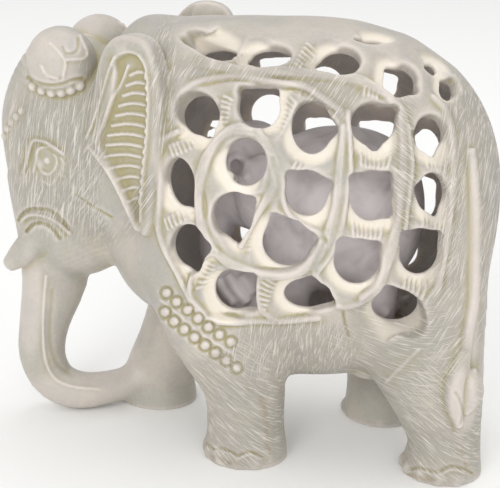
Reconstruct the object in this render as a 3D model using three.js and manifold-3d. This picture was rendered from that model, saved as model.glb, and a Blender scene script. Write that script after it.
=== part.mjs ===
// Soapstone elephant, hand carved from one block: a standing elephant whose barrel is
// hollowed and pierced as a lattice (jali), with a calf left standing inside it.
// Millimetres, +Z up. The elephant faces -X, its left flank is on -Y, and it stands on z = 0
// with the origin under the middle of its bounding box.

import * as THREE from 'three';
import { mergeVertices } from 'three/addons/utils/BufferGeometryUtils.js';
import Module from 'manifold-3d';

const wasm = await Module();
wasm.setup();

// Driving dimensions
const HEIGHT = 107.3;          // feet to the top of the back
const SHELL_WALL = 3.0;        // stone left round the hollow barrel
const EAR_THICKNESS = 5.0;     // an ear's slab
const EAR_RIM = 2.6;           // width of the plain rim round an ear
const EAR_HOLLOW = 1.3;        // depth of the ribbed field inside the rim
const EAR_RIB = 1.3;           // width of one rib in that field
const EAR_RIBS = 9;            // ribs down one ear
const BEAD = 2.9;              // diameter of the carved beads on the shoulder
const UPPER_BEADS = 7;         // beads in the upper shoulder row
const LOWER_BEADS = 8;         // beads in the lower shoulder row
const CROWN_BEAD = 2.2;        // diameter of the beads round each dome of the head
const CROWN_BEADS = 10;        // beads round one dome
const TUSK_ROOT = 7.4;         // a tusk's thickness at the lip
const TUSK_TIP = 3.2;          // and at its blunt end
const NAIL = 4.6;              // width of a toenail
const NAILS = 3;               // toenails on a foot
const EYE = 4.2;               // length of an eye between its lids
const TAIL = 3.6;              // thickness of the tail
const TRUNK_TIP = 8.6;         // thickness of the trunk where it meets the far foot
const EAR_FLARE = 12;          // degrees that an ear's back edge stands out from the head
const HEAD_TURN = 13;          // degrees that the head is turned to its right

// The pose is laid out for a figure POSE_HEIGHT tall, and carried to HEIGHT.
const POSE_HEIGHT = 107.3;
const POSE_SCALE = HEIGHT / POSE_HEIGHT;
const place = (x, y, z) => new THREE.Vector3(x, y, z).multiplyScalar(POSE_SCALE);
const share = (value) => value * POSE_SCALE;
const NEAR = -1;               // the left flank
const FAR = 1;                 // the right flank
const FLANKS = [NEAR, FAR];

// The barrel is a squared ellipsoid.
const BARREL = { middle: place(14, 0, 64), reach: place(46.4, 30, 43.2), square: 2.3 };

/** Turns a closed geometry into a solid. */
function solid(geometry) {
  const bare = geometry.clone();
  for (const name of ['normal', 'uv']) {
    bare.deleteAttribute(name);
  }
  const merged = mergeVertices(bare, 1e-4);
  return new wasm.Manifold(new wasm.Mesh({
    numProp: 3,
    vertProperties: new Float32Array(merged.attributes.position.array),
    triVerts: new Uint32Array(merged.index.array),
  }));
}

/** Joins solids into one. */
function join(parts) {
  return parts.reduce((whole, part) => whole.add(part));
}

/** Turns a finished solid back into a geometry. */
function geometryOf(whole) {
  const mesh = whole.getMesh();
  const geometry = new THREE.BufferGeometry();
  geometry.setAttribute('position', new THREE.BufferAttribute(new Float32Array(mesh.vertProperties), 3));
  geometry.setIndex(new THREE.BufferAttribute(new Uint32Array(mesh.triVerts), 1));
  geometry.computeVertexNormals();
  return geometry;
}

/** Moves every vertex of a geometry to the place that move(vertex) gives. */
function reshape(geometry, move) {
  const position = geometry.attributes.position;
  const vertex = new THREE.Vector3();
  for (let i = 0; i < position.count; i += 1) {
    const moved = move(vertex.fromBufferAttribute(position, i));
    position.setXYZ(i, moved.x, moved.y, moved.z);
  }
  return geometry;
}

/** An egg: a ball with its own reach along each axis, its poles up and down. */
function egg(middle, reach, around = 14, rings = 8) {
  const geometry = new THREE.SphereGeometry(1, around, rings);
  geometry.rotateX(Math.PI / 2);
  geometry.scale(reach.x, reach.y, reach.z);
  geometry.translate(middle.x, middle.y, middle.z);
  return geometry;
}

/** A bead, sunk to its middle in the stone. */
function bead(spot, diameter) {
  const geometry = new THREE.SphereGeometry(diameter / 2, 5, 3);
  geometry.translate(spot.x, spot.y, spot.z);
  return geometry;
}

/** One stop of a limb: where it is, how wide it is from side to side, and how deep. */
const stop = (x, y, z, wide, deep) => ({ at: place(x, y, z), wide: share(wide), deep: share(deep) });

/** A limb: a round section carried along a smooth path, as wide and deep as each stop says. */
function limb(stops, sides, steps) {
  const path = new THREE.CatmullRomCurve3(stops.map((each) => each.at));
  const sizes = new THREE.CatmullRomCurve3(stops.map((each) => new THREE.Vector3(each.wide, each.deep, 0)));
  const sideways = new THREE.Vector3(0, 1, 0);
  const geometry = new THREE.CylinderGeometry(1, 1, 1, sides, steps);
  return reshape(geometry, (vertex) => {
    const along = THREE.MathUtils.clamp(0.5 - vertex.y, 0, 1);
    const size = sizes.getPoint(along);
    const forward = path.getTangent(along);
    const deepward = new THREE.Vector3().crossVectors(forward, sideways).normalize();
    const wideward = new THREE.Vector3().crossVectors(forward, deepward);
    return path.getPoint(along)
      .addScaledVector(wideward, vertex.z * size.x / 2)
      .addScaledVector(deepward, vertex.x * size.y / 2);
  });
}

/** Where a block's side is met at a place along it and a height, coming in from one flank. */
function settle(block, along, height, flank) {
  const start = new THREE.Vector3(share(along), flank * HEIGHT, share(height));
  const ray = new THREE.Raycaster(start, new THREE.Vector3(0, -flank, 0));
  return ray.intersectObject(block)[0].point;
}

// The barrel and its lattice

/** The barrel's skin, moved in by inset. */
function barrel(inset, around, rings) {
  const reach = BARREL.reach.clone().subScalar(inset);
  const geometry = new THREE.SphereGeometry(1, around, rings);
  geometry.rotateZ(Math.PI / 2);
  return reshape(geometry, (vertex) => {
    const stretch = ['x', 'y', 'z'].reduce(
      (sum, axis) => sum + Math.abs(vertex[axis] / reach[axis]) ** BARREL.square, 0);
    return vertex.multiplyScalar(stretch ** (-1 / BARREL.square)).add(BARREL.middle);
  });
}

/** The barrel's point and outward normal at a place along it and a lift in degrees round it. */
function onBarrel(along, lift, flank) {
  const { middle, reach, square } = BARREL;
  const angle = THREE.MathUtils.degToRad(lift);
  const forward = share(along) - middle.x;
  const out = flank * Math.cos(angle);
  const up = Math.sin(angle);
  const section = Math.max(0, 1 - Math.abs(forward / reach.x) ** square) ** (1 / square);
  const stretch = Math.abs(out / reach.y) ** square + Math.abs(up / reach.z) ** square;
  const radius = section * stretch ** (-1 / square);
  const offset = new THREE.Vector3(forward, out * radius, up * radius);
  const slope = (axis) => Math.sign(offset[axis]) * Math.abs(offset[axis] / reach[axis]) ** (square - 1)
    / reach[axis];
  const normal = new THREE.Vector3(slope('x'), slope('y'), slope('z')).normalize();
  return { point: offset.add(middle), normal };
}

/** Stands a geometry made facing +Z on the barrel, with its own +Y up the flank. */
function standOnBarrel(geometry, along, lift, flank) {
  const { point, normal } = onBarrel(along, lift, flank);
  const upward = new THREE.Vector3(0, 0, 1).addScaledVector(normal, -normal.z).normalize();
  const side = new THREE.Vector3().crossVectors(upward, normal);
  return geometry.applyMatrix4(new THREE.Matrix4().makeBasis(side, upward, normal).setPosition(point));
}

// The lattice's openings on one flank, in rows down from the spine. Each opening: its place
// along the barrel, its lift round the barrel in degrees, its width and its height.
const JALI = [
  { pinch: 0, holes: [[28, 80, 7.4, 4.6], [42, 74, 6, 4.6]] },
  { pinch: 0.1, holes: [[-8.4, 70, 11, 7], [5, 67, 10.4, 7.4], [20, 65, 10.4, 8.2], [34.6, 62, 8.8, 8.6]] },
  { pinch: 0.3,
    holes: [[-10.4, 46, 9, 10.6], [3.2, 48, 9.8, 10.2], [16.6, 42, 10.6, 11.8], [29.8, 43, 10.4, 11.8],
      [42, 44, 8, 10.2]] },
  { pinch: 0.35,
    holes: [[-13.4, 18, 7.8, 11.6], [1.2, 28, 9.6, 10.4], [16.2, 17, 10.6, 11.2], [30, 18, 10.4, 11.6],
      [43, 18, 8, 10.8]] },
  { pinch: 0.35,
    holes: [[-11.2, -15, 9, 12], [-1, 4, 9, 10.6], [13.4, -8, 10.6, 11.4], [28, -12, 10.2, 11.2],
      [42, -10, 9, 11.2]] },
  { pinch: 0.15, holes: [[0.6, -31, 10, 9], [17.4, -34, 11.6, 8.4], [36, -37, 11, 8.8]] },
];

/** One opening's outline: an ellipse whose upper half is drawn in by pinch, like a scale. */
function scaleOutline(width, height, pinch, corners) {
  const points = [];
  for (let i = 0; i < corners; i += 1) {
    const turn = (i + 0.5) * 2 * Math.PI / corners;
    const narrowing = 1 - pinch * Math.max(0, Math.sin(turn)) ** 2;
    points.push(new THREE.Vector2(width / 2 * Math.cos(turn) * narrowing, height / 2 * Math.sin(turn)));
  }
  return new THREE.Shape(points);
}

/** Every opening of the lattice, as one cutter that passes right through the wall. */
function jaliCutter() {
  const spare = share(6);
  const cutters = [];
  for (const flank of FLANKS) {
    const corners = flank === NEAR ? 8 : 6;
    for (const { pinch, holes } of JALI) {
      for (const [along, lift, width, height] of holes) {
        const outline = scaleOutline(share(width), share(height), pinch, corners);
        const prism = new THREE.ExtrudeGeometry(outline, {
          depth: SHELL_WALL + 2 * spare, bevelEnabled: false,
        });
        prism.translate(0, 0, -SHELL_WALL - spare);
        cutters.push(solid(standOnBarrel(prism, along, lift, flank)));
      }
    }
  }
  return join(cutters);
}

/** The two rows of beads that run down each shoulder under the lattice, half sunk in it. */
function shoulderBeads(block) {
  const rows = [
    { count: UPPER_BEADS, from: [-15, 43.6], to: [0.8, 33.2] },
    { count: LOWER_BEADS, from: [-15.4, 38.4], to: [2.2, 26.8] },
  ];
  const beads = [];
  for (const flank of FLANKS) {
    const stride = flank === FAR ? -5 : 0;
    for (const { count, from, to } of rows) {
      for (let i = 0; i < count; i += 1) {
        const along = THREE.MathUtils.lerp(from[0], to[0], i / (count - 1)) + stride;
        const height = THREE.MathUtils.lerp(from[1], to[1], i / (count - 1));
        beads.push(solid(bead(settle(block, along, height, flank), BEAD)));
      }
    }
  }
  return join(beads);
}

// The head is made facing straight ahead, and turned about the neck as a whole.

const NECK = place(-25, 0, 0);

/** Turns a part of the head about the neck, the face moving to the elephant's right. */
function turned(geometry) {
  geometry.translate(-NECK.x, 0, 0);
  geometry.rotateZ(THREE.MathUtils.degToRad(-HEAD_TURN));
  geometry.translate(NECK.x, 0, 0);
  return geometry;
}

/** Brow, cheeks and jaw as one long form, and the neck behind it. */
function skull() {
  const face = limb([
    stop(-42, 0, 98, 18, 16), stop(-44.6, 0, 91, 29, 31), stop(-46, 0, 79, 32.4, 37),
    stop(-46, 0, 66, 31, 35), stop(-45, 0, 54, 28, 30.5), stop(-41, 0, 45, 24, 22), stop(-38.6, 0, 39.6, 12, 9),
  ], 14, 8);
  const neck = egg(place(-29, 0, 72), place(14, 17, 30), 12, 6);
  return solid(turned(face)).add(solid(turned(neck)));
}

/** The brisket, which carries the chest down between the front legs. */
function brisket() {
  return solid(egg(place(-19, 0.5, 50), place(16, 15, 18), 10, 6));
}

/** The withers, which carry the line of the back on to the neck and meet the ears. */
function withers() {
  return solid(egg(place(-13, 0, 81), place(22, 20.5, 25.4), 12, 6));
}

/** The two domes of the forehead, each with a ring of beads round its foot. */
function domes() {
  const radius = share(8.3);
  const drop = share(5);
  const foot = Math.sqrt(radius ** 2 - drop ** 2) + CROWN_BEAD / 6;
  const forms = [];
  for (const flank of FLANKS) {
    const middle = place(-44.4, flank * 10.6, 94.8);
    forms.push(egg(middle, new THREE.Vector3(radius, radius, radius), 12, 8));
    for (let i = 0; i < CROWN_BEADS; i += 1) {
      const turn = i * 2 * Math.PI / CROWN_BEADS;
      const ring = new THREE.Vector3(foot * Math.cos(turn), foot * Math.sin(turn), -drop);
      forms.push(bead(ring.add(middle), CROWN_BEAD));
    }
  }
  return join(forms.map((form) => solid(turned(form))));
}

/** The points of an ear's outline, as distances behind the neck and heights, moved in by inset. */
function earOutline(inset) {
  const corners = [
    [-10.2, 78], [-7.8, 92], [-2, 102], [4.6, 103.6], [9.6, 96], [10, 80], [8.6, 57.6], [-1, 67],
  ];
  const curve = new THREE.CatmullRomCurve3(corners.map(([x, z]) => place(x, z, 0)), true);
  const points = curve.getPoints(14).slice(0, -1);
  const middle = points.reduce((sum, point) => sum.add(point), new THREE.Vector3()).divideScalar(points.length);
  return points.map((point) => {
    const inward = middle.clone().sub(point);
    return point.clone().addScaledVector(inward, inset / inward.length());
  });
}

// The far ear was left standing further back, further out and a little higher than the near one.
const FAR_EAR = place(4.5, 5, 2.6);

/** Lays a geometry, drawn in an ear's own plane, on the side of the head and flares it. */
function layEar(geometry, flank) {
  const facing = new THREE.Matrix4().makeBasis(
    new THREE.Vector3(-flank, 0, 0), new THREE.Vector3(0, 0, 1), new THREE.Vector3(0, flank, 0));
  const flare = new THREE.Matrix4().makeRotationZ(flank * THREE.MathUtils.degToRad(EAR_FLARE));
  const carved = flank === FAR ? FAR_EAR : place(0, 0, 0);
  const out = flank * share(19.5) + carved.y;
  const root = new THREE.Matrix4().makeTranslation(NECK.x + carved.x, out, carved.z);
  return turned(geometry.applyMatrix4(root.multiply(flare).multiply(facing)));
}

/** One ear: a slab whose rim stands round a hollow field that is crossed by ribs. */
function ear(flank) {
  const extrude = (points, depth, back) => {
    const outline = new THREE.Shape(points.map((point) => new THREE.Vector2(-flank * point.x, point.y)));
    const geometry = new THREE.ExtrudeGeometry(outline, { depth, bevelEnabled: false });
    geometry.translate(0, 0, back);
    return solid(layEar(geometry, flank));
  };
  const slab = extrude(earOutline(0), EAR_THICKNESS, -EAR_THICKNESS);
  const field = extrude(earOutline(EAR_RIM), EAR_HOLLOW * 2, -EAR_HOLLOW);
  const ribs = [];
  const low = share(66);
  const pitch = share(34) / EAR_RIBS;
  for (let i = 0; i < EAR_RIBS; i += 1) {
    const rib = new THREE.BoxGeometry(share(20), EAR_RIB, EAR_HOLLOW);
    rib.translate(0, low + (i + 0.5) * pitch, -EAR_HOLLOW * 0.8);
    ribs.push(solid(layEar(rib, flank)));
  }
  return slab.subtract(field.subtract(join(ribs)));
}

/** The eyes: an almond ball in a raised lid. */
function eyes() {
  const forms = [];
  for (const flank of FLANKS) {
    const spot = place(-46.6, flank * 15.5, 70);
    forms.push(egg(spot, new THREE.Vector3(EYE / 2, EYE / 3, EYE / 2), 6, 4));
    const lid = new THREE.TorusGeometry(EYE * 0.72, EYE * 0.14, 3, 8);
    lid.rotateX(Math.PI / 2);
    lid.rotateZ(flank * 0.35);
    lid.translate(spot.x, spot.y, spot.z);
    forms.push(lid);
  }
  return join(forms.map((form) => solid(turned(form))));
}

/** The tusks, which leave the lips forward and down. */
function tusks() {
  const stub = (flank) => limb([
    { at: place(-48, flank * 9, 54), wide: TUSK_ROOT, deep: TUSK_ROOT },
    { at: place(-54.4, flank * 9.8, 46), wide: TUSK_ROOT * 0.85, deep: TUSK_ROOT * 0.85 },
    { at: place(-59.6, flank * 9.8, 40.6), wide: TUSK_TIP, deep: TUSK_TIP },
  ], 7, 3);
  return join(FLANKS.map((flank) => solid(turned(stub(flank)))));
}

/** The trunk, which hangs from the face and curls back to the far front foot. */
function trunk() {
  const tip = TRUNK_TIP / POSE_SCALE;
  return solid(limb([
    stop(-50, 5, 62, 19, 24), stop(-50.6, 4.6, 48, 17.5, 20), stop(-51, 4, 36, 15, 17),
    stop(-53.6, 3.2, 24, 12.6, 13), stop(-54.2, 2.6, 15, 11.4, 12), stop(-51, 2.6, 8, 10.4, 11),
    stop(-44.4, 3, 5.3, 9.8, 9.8), stop(-36.6, 6.5, 5.4, tip, tip), stop(-29, 11, 6.6, tip, tip),
  ], 10, 16));
}

/** The four legs, down to their flat soles. */
function legs() {
  const near = NEAR;
  const far = FAR;
  return [
    [stop(-8, near * 8, 58, 20, 32), stop(-5, near * 14, 38, 21.6, 31), stop(1, near * 15, 20, 19.4, 21),
      stop(2, near * 15, 9, 18, 19), stop(2.2, near * 15, -2, 19.4, 20.4)],
    [stop(-8, far * 8, 58, 20, 32), stop(-13, far * 14, 36, 21, 27), stop(-20, far * 15, 19, 19, 20),
      stop(-24.6, far * 15, 8, 18, 18.6), stop(-25, far * 15, -2, 19.4, 20)],
    [stop(40, near * 7, 60, 22, 34), stop(42, near * 13.4, 40, 23.6, 34), stop(48.4, near * 15, 20, 21, 23),
      stop(51, near * 15, 9, 18, 17.8), stop(51, near * 15, -2, 19, 19)],
    [stop(38, far * 7, 60, 22, 34), stop(37, far * 13.4, 40, 23.6, 32), stop(35.4, far * 15, 20, 20, 22),
      stop(34.8, far * 15, 9, 18, 18), stop(35, far * 15, -2, 19, 19)],
  ].map((stops) => solid(limb(stops, 12, 5)));
}

/** The toenails round the front of each foot. */
function nails() {
  const feet = [[2.2, NEAR * 15], [-25, FAR * 15], [51, NEAR * 15], [35, FAR * 15]];
  const forms = [];
  for (const [x, y] of feet) {
    for (let i = 0; i < NAILS; i += 1) {
      const turn = THREE.MathUtils.degToRad(192 + i * 33) * -Math.sign(y);
      const spot = place(x + 8.9 * Math.cos(turn), y + 8.5 * Math.sin(turn), 1.4);
      forms.push(solid(egg(spot, new THREE.Vector3(NAIL / 2, NAIL / 2, NAIL * 0.6), 5, 3)));
    }
  }
  return join(forms);
}

/** The tail, which lies down the near side of the rump to a leaf-shaped tuft on the thigh. */
function tail(block) {
  const rope = TAIL / POSE_SCALE;
  const course = [
    [53.4, 82, rope, rope], [55, 74, rope, rope], [56.4, 64, rope, rope], [56.8, 54, rope, rope],
    [56.6, 44, rope, rope], [56, 35, rope, rope], [56.6, 26, rope * 2.4, rope * 1.8],
    [56, 18, rope * 1.8, rope * 1.4], [55.4, 12.4, 1, 1],
  ];
  return solid(limb(course.map(([along, height, deep, wide]) => {
    const { x, y, z } = settle(block, along, height, NEAR);
    return { at: new THREE.Vector3(x, y, z), wide: share(wide), deep: share(deep) };
  }), 6, 10));
}

/** The calf that is left standing on the barrel's floor. */
function calf() {
  const body = [
    egg(place(22, 0, 61), place(20, 15.5, 20), 10, 6),
    egg(place(0, 0, 68), place(10.5, 10.5, 13.5), 8, 5),
    egg(place(4, -9.6, 66), place(7, 3, 10), 6, 4),
    egg(place(4, 9.6, 66), place(7, 3, 10), 6, 4),
  ].map(solid);
  const snout = limb([
    stop(-4, 0, 66, 10, 11), stop(-8.4, 0, 54, 8, 8.4), stop(-8.6, 0, 44, 6.6, 6.8), stop(-4, 0, 36, 6, 6),
    stop(-2, 0, 26, 5.6, 5.6),
  ], 6, 6);
  const stands = [];
  for (const flank of FLANKS) {
    for (const along of [11, 32]) {
      stands.push(solid(limb([
        stop(along + 1, flank * 6.5, 58, 11, 13), stop(along, flank * 7.5, 42, 9.6, 10.6),
        stop(along, flank * 7.5, 23.4, 9.6, 10.4),
      ], 6, 2)));
    }
  }
  return join([...body, solid(snout), ...stands]);
}

/** Everything below the ground, to saw the soles flat. */
function ground() {
  const slab = new THREE.BoxGeometry(HEIGHT * 2, HEIGHT, HEIGHT / 10);
  slab.translate(0, 0, -HEIGHT / 20);
  return solid(slab);
}

/** The whole carving as one solid. */
function carve() {
  const block = join([solid(barrel(0, 20, 14)), withers(), brisket(), skull(), trunk(), ...legs()]);
  const side = new THREE.Mesh(geometryOf(block));
  const hollow = solid(barrel(SHELL_WALL, 12, 8));
  const pierced = block.subtract(hollow).subtract(jaliCutter());
  const ears = join(FLANKS.map(ear)).subtract(hollow);
  const dressed = join([
    pierced, calf(), domes(), ears, tusks(), eyes(), shoulderBeads(side), tail(side), nails(),
  ]);
  return dressed.subtract(ground());
}

/** Sets a geometry on the ground with the origin under the middle of its box. */
function centred(geometry) {
  geometry.computeBoundingBox();
  const { min, max } = geometry.boundingBox;
  return geometry.translate(-(min.x + max.x) / 2, -(min.y + max.y) / 2, -min.z);
}

const soapstone = new THREE.MeshStandardMaterial({ color: '#d8d1bd', roughness: 0.42, metalness: 0 });
const elephant = new THREE.Mesh(centred(geometryOf(carve())), soapstone);
elephant.name = 'elephant';

const sculpture = new THREE.Group();
sculpture.add(elephant);

export default sculpture;
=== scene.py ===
"""A soapstone elephant whose barrel is pierced as a lattice, with a calf left standing inside.

The carving is one block of stone, so it is worked out here as one closed surface. Every form
is a signed distance in millimetres on one grid: below zero inside the stone, above zero
outside. Forms are joined and cut by taking the smaller or larger distance with a small
fillet, the carving is added as heights drawn on flat sheets, and the skin is drawn through
the places where the distance is zero.

Sculpting is done in the maker's frame: the face to -X, the left flank to -Y, the ground at
z = 0. The finished skin is moved so that its box lines up with the frame's.
"""

import logging
import math
from collections.abc import Callable
from dataclasses import dataclass, field
from enum import Enum
from functools import reduce

import bpy
import numpy as np
from mathutils import Matrix, Vector


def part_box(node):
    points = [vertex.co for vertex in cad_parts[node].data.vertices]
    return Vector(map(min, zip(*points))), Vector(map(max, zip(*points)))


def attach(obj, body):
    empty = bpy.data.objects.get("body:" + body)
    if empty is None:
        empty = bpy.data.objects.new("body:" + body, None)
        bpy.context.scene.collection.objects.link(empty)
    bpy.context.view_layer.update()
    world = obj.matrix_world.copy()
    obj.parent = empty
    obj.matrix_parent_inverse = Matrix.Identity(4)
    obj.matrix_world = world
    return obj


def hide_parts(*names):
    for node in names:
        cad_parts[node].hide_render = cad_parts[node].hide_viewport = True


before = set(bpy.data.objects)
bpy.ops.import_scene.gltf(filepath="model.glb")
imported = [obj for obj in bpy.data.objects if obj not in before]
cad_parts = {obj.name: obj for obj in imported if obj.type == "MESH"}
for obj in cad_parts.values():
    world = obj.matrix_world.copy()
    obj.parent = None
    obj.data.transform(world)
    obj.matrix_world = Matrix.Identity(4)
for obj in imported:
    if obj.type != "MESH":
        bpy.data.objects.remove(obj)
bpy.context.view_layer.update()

LOG = logging.getLogger("elephant")
MM = 0.001
OUTSIDE = 9.0                  # the distance that stands for far outside, in mm
WALK_PAST = 60.0               # how far past the target lines of sight are followed, in mm
PITCH = 0.36             # the grid's step in mm
TRIANGLES = 194_000   # what the skin is thinned to

HEAD_TURN = 13.0               # degrees that the head is turned to the elephant's right
NECK_X = -25.0                 # the upright axis that the head turns about
SHELL_WALL = 3.0               # stone left round the hollow barrel


class Flank(Enum):
    """A side of the elephant, by the sign of its y."""

    NEAR = -1
    FAR = 1


def smooth_union(first: np.ndarray, second: np.ndarray, fillet: float) -> np.ndarray:
    """Joins two distances: the smaller one, lowered by up to a quarter of fillet where they meet.

    Args:
        first: Distances to one form.
        second: Distances to the other form.
        fillet: How far apart the two may be and still be blended, in mm.

    Returns:
        The joined distances.
    """
    share = np.clip(0.5 + (second - first) / (2 * fillet), 0, 1)
    return second + (first - second) * share - fillet * share * (1 - share)


def smooth_cut(stone: np.ndarray, tool: np.ndarray, fillet: float) -> np.ndarray:
    """Takes a tool's form out of the stone: the larger of stone and -tool, with a fillet."""
    return -smooth_union(-stone, tool, fillet)


def smooth_step(low: float, high: float, value: np.ndarray) -> np.ndarray:
    """Goes from 0 at low to 1 at high along the curve 3t^2 - 2t^3."""
    share = np.clip((value - low) / (high - low), 0, 1)
    return share * share * (3 - 2 * share)


def smooth_course(points: np.ndarray, per_span: int = 6, closed: bool = False) -> np.ndarray:
    """Runs a Catmull-Rom curve through points: a cubic on each span from its four neighbours.

    Args:
        points: The points, one a row, in any number of dimensions.
        per_span: Steps from one point to the next.
        closed: Whether the curve comes back to its start.

    Returns:
        The points of the curve, one a row.
    """
    if closed:
        knots = np.vstack([points[-1:], points, points[:2]])
    else:
        knots = np.vstack([2 * points[:1] - points[1:2], points, 2 * points[-1:] - points[-2:-1]])
    before, start, end, after = knots[:-3], knots[1:-2], knots[2:-1], knots[3:]
    step = (np.arange(per_span) / per_span)[None, :, None]
    before, start, end, after = (each[:, None, :] for each in (before, start, end, after))
    curve = 0.5 * (2 * start + (end - before) * step
                   + (2 * before - 5 * start + 4 * end - after) * step ** 2
                   + (3 * start - before - 3 * end + after) * step ** 3)
    curve = curve.reshape(-1, points.shape[1])
    return curve if closed else np.vstack([curve, points[-1:]])


@dataclass(frozen=True)
class Viewpoint:
    """The photograph's viewpoint: places in its 500 x 488 frame to lines through the maker's frame."""

    azimuth: float = 6.0       # degrees round from the left flank towards the rump
    elevation: float = 18.0    # degrees above the ground
    roll: float = 2.0          # degrees that the picture is turned clockwise
    distance: float = 350.0    # mm from the target
    target: tuple[float, float, float] = (0.0, 0.0, 50.0)
    centre: tuple[float, float] = (250.0, 244.0)
    scale: float = 4.0         # picture pixels to one mm at the target
    width: int = 500
    height: int = 488

    def axes(self) -> tuple[np.ndarray, np.ndarray, np.ndarray]:
        """Works out the camera's own axes from its angles.

        Returns:
            The unit vectors to the right, up, and towards the camera.
        """
        a, e, r = (math.radians(v) for v in (self.azimuth, self.elevation, self.roll))
        toward = np.array([math.sin(a) * math.cos(e), -math.cos(a) * math.cos(e), math.sin(e)])
        level = np.array([math.cos(a), math.sin(a), 0.0])
        upright = np.cross(toward, level)
        right = level * math.cos(r) + upright * math.sin(r)
        return right, upright * math.cos(r) - level * math.sin(r), toward

    def project(self, x: np.ndarray, y: np.ndarray, z: np.ndarray) -> tuple[np.ndarray, np.ndarray]:
        """Gives the pixel of a place: its offset from the target across and up, over its depth.

        Args:
            x: Places' x in mm.
            y: Their y.
            z: Their z.

        Returns:
            Their columns and rows.
        """
        right, up, toward = self.axes()
        x, y, z = x - self.target[0], y - self.target[1], z - self.target[2]
        depth = self.distance - (x * toward[0] + y * toward[1] + z * toward[2])
        focal = self.scale * self.distance
        across = (x * right[0] + y * right[1] + z * right[2]) / depth
        height = (x * up[0] + y * up[1] + z * up[2]) / depth
        return self.centre[0] + focal * across, self.centre[1] - focal * height

    def walk(self, pixels: np.ndarray, before: float, step: float) -> np.ndarray:
        """Follows the lines through pixels: camera plus the way along times the unit direction.

        Args:
            pixels: Pixel pairs, one a row.
            before: How far before the target's distance the walk starts, in mm.
            step: From one place to the next, in mm.

        Returns:
            Places in mm, by pixel, by step.
        """
        right, up, toward = self.axes()
        focal = self.scale * self.distance
        offset = np.asarray(pixels, float) - np.array(self.centre)
        aim = -toward * focal + offset[:, :1] * right - offset[:, 1:] * up
        aim /= np.linalg.norm(aim, axis=1, keepdims=True)
        start = np.array(self.target) + toward * self.distance
        along = np.arange(self.distance - before, self.distance + WALK_PAST, step)
        return start + along[None, :, None] * aim[:, None, :]


VIEW = Viewpoint()


def turn_head(x: np.ndarray, y: np.ndarray, degrees: float) -> tuple[np.ndarray, np.ndarray]:
    """Turns places about the neck's upright axis.

    Args:
        x: Places' x in mm.
        y: Their y.
        degrees: The angle, anticlockwise from above.

    Returns:
        Their new x and y.
    """
    cosine, sine = math.cos(math.radians(degrees)), math.sin(math.radians(degrees))
    x = x - NECK_X
    return x * cosine - y * sine + NECK_X, x * sine + y * cosine


class Stone:
    """The block: signed distances in mm on a grid of cubes."""

    def __init__(self, low: tuple[float, float, float], high: tuple[float, float, float],
                 pitch: float) -> None:
        """Lays out an empty grid between two corners.

        Args:
            low: The lowest corner in mm.
            high: The highest corner in mm.
            pitch: The grid's step in mm.
        """
        self.pitch = pitch
        self.axes = [np.arange(lo, hi + pitch, pitch, dtype=np.float32) for lo, hi in zip(low, high)]
        self.low = np.array([axis[0] for axis in self.axes])
        self.value = np.full([len(axis) for axis in self.axes], OUTSIDE, np.float32)

    def window(self, low: np.ndarray, high: np.ndarray, margin: float) -> tuple:
        """Picks the part of the grid round a box.

        Args:
            low: The box's lowest corner in mm.
            high: Its highest corner.
            margin: How far past the box the part goes, in mm.

        Returns:
            The part's slices, and its three axes ready to broadcast.
        """
        spans = tuple(
            slice(int(np.searchsorted(axis, lo - margin)), int(np.searchsorted(axis, hi + margin)))
            for axis, lo, hi in zip(self.axes, low, high))
        x, y, z = (axis[span] for axis, span in zip(self.axes, spans))
        return spans, x[:, None, None], y[None, :, None], z[None, None, :]

    def join(self, form: "Form", fillet: float = 1.0) -> None:
        """Adds a form to the stone with a fillet where they meet."""
        spans, x, y, z = self.window(*form.box(), fillet + 2)
        self.value[spans] = smooth_union(self.value[spans], form.distance(x, y, z), fillet)

    def cut(self, form: "Form", fillet: float = 0.5) -> None:
        """Takes a form out of the stone, its edges worn by a fillet."""
        spans, x, y, z = self.window(*form.box(), fillet + 2)
        self.value[spans] = smooth_cut(self.value[spans], form.distance(x, y, z), fillet)

    def sample(self, grid: np.ndarray, places: np.ndarray) -> np.ndarray:
        """Reads a grid of this stone's shape at any places, mixing the eight corners round each.

        Args:
            grid: The values.
            places: Places in mm, one a row.

        Returns:
            One value for each place.
        """
        spot = (places - self.low) / self.pitch
        spot = np.clip(spot, 0, np.array(grid.shape) - 1.001)
        base = spot.astype(int)
        part = spot - base
        total = np.zeros(len(places))
        for corner in np.ndindex(2, 2, 2):
            weight = np.prod(np.where(corner, part, 1 - part), axis=1)
            total += weight * grid[tuple((base + corner).T)]
        return total

    def meet(self, pixels: np.ndarray) -> np.ndarray:
        """Finds where the lines through pixels first meet the stone, by walking along them.

        Args:
            pixels: Pixel pairs, one a row.

        Returns:
            The places in mm, one a row.
        """
        places = VIEW.walk(pixels, 60, 0.15)
        shape = places.shape[:2]
        reached = self.sample(self.value, places.reshape(-1, 3)).reshape(shape) < 0
        first = np.argmax(reached, axis=1)
        return places[np.arange(len(pixels)), first]


class Form:
    """A shape with a box and a signed distance."""

    def box(self) -> tuple[np.ndarray, np.ndarray]:
        """Returns the lowest and highest corners of the form."""
        raise NotImplementedError

    def distance(self, x: np.ndarray, y: np.ndarray, z: np.ndarray) -> np.ndarray:
        """Returns signed distances in mm at places given by broadcasting axes."""
        raise NotImplementedError


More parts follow.
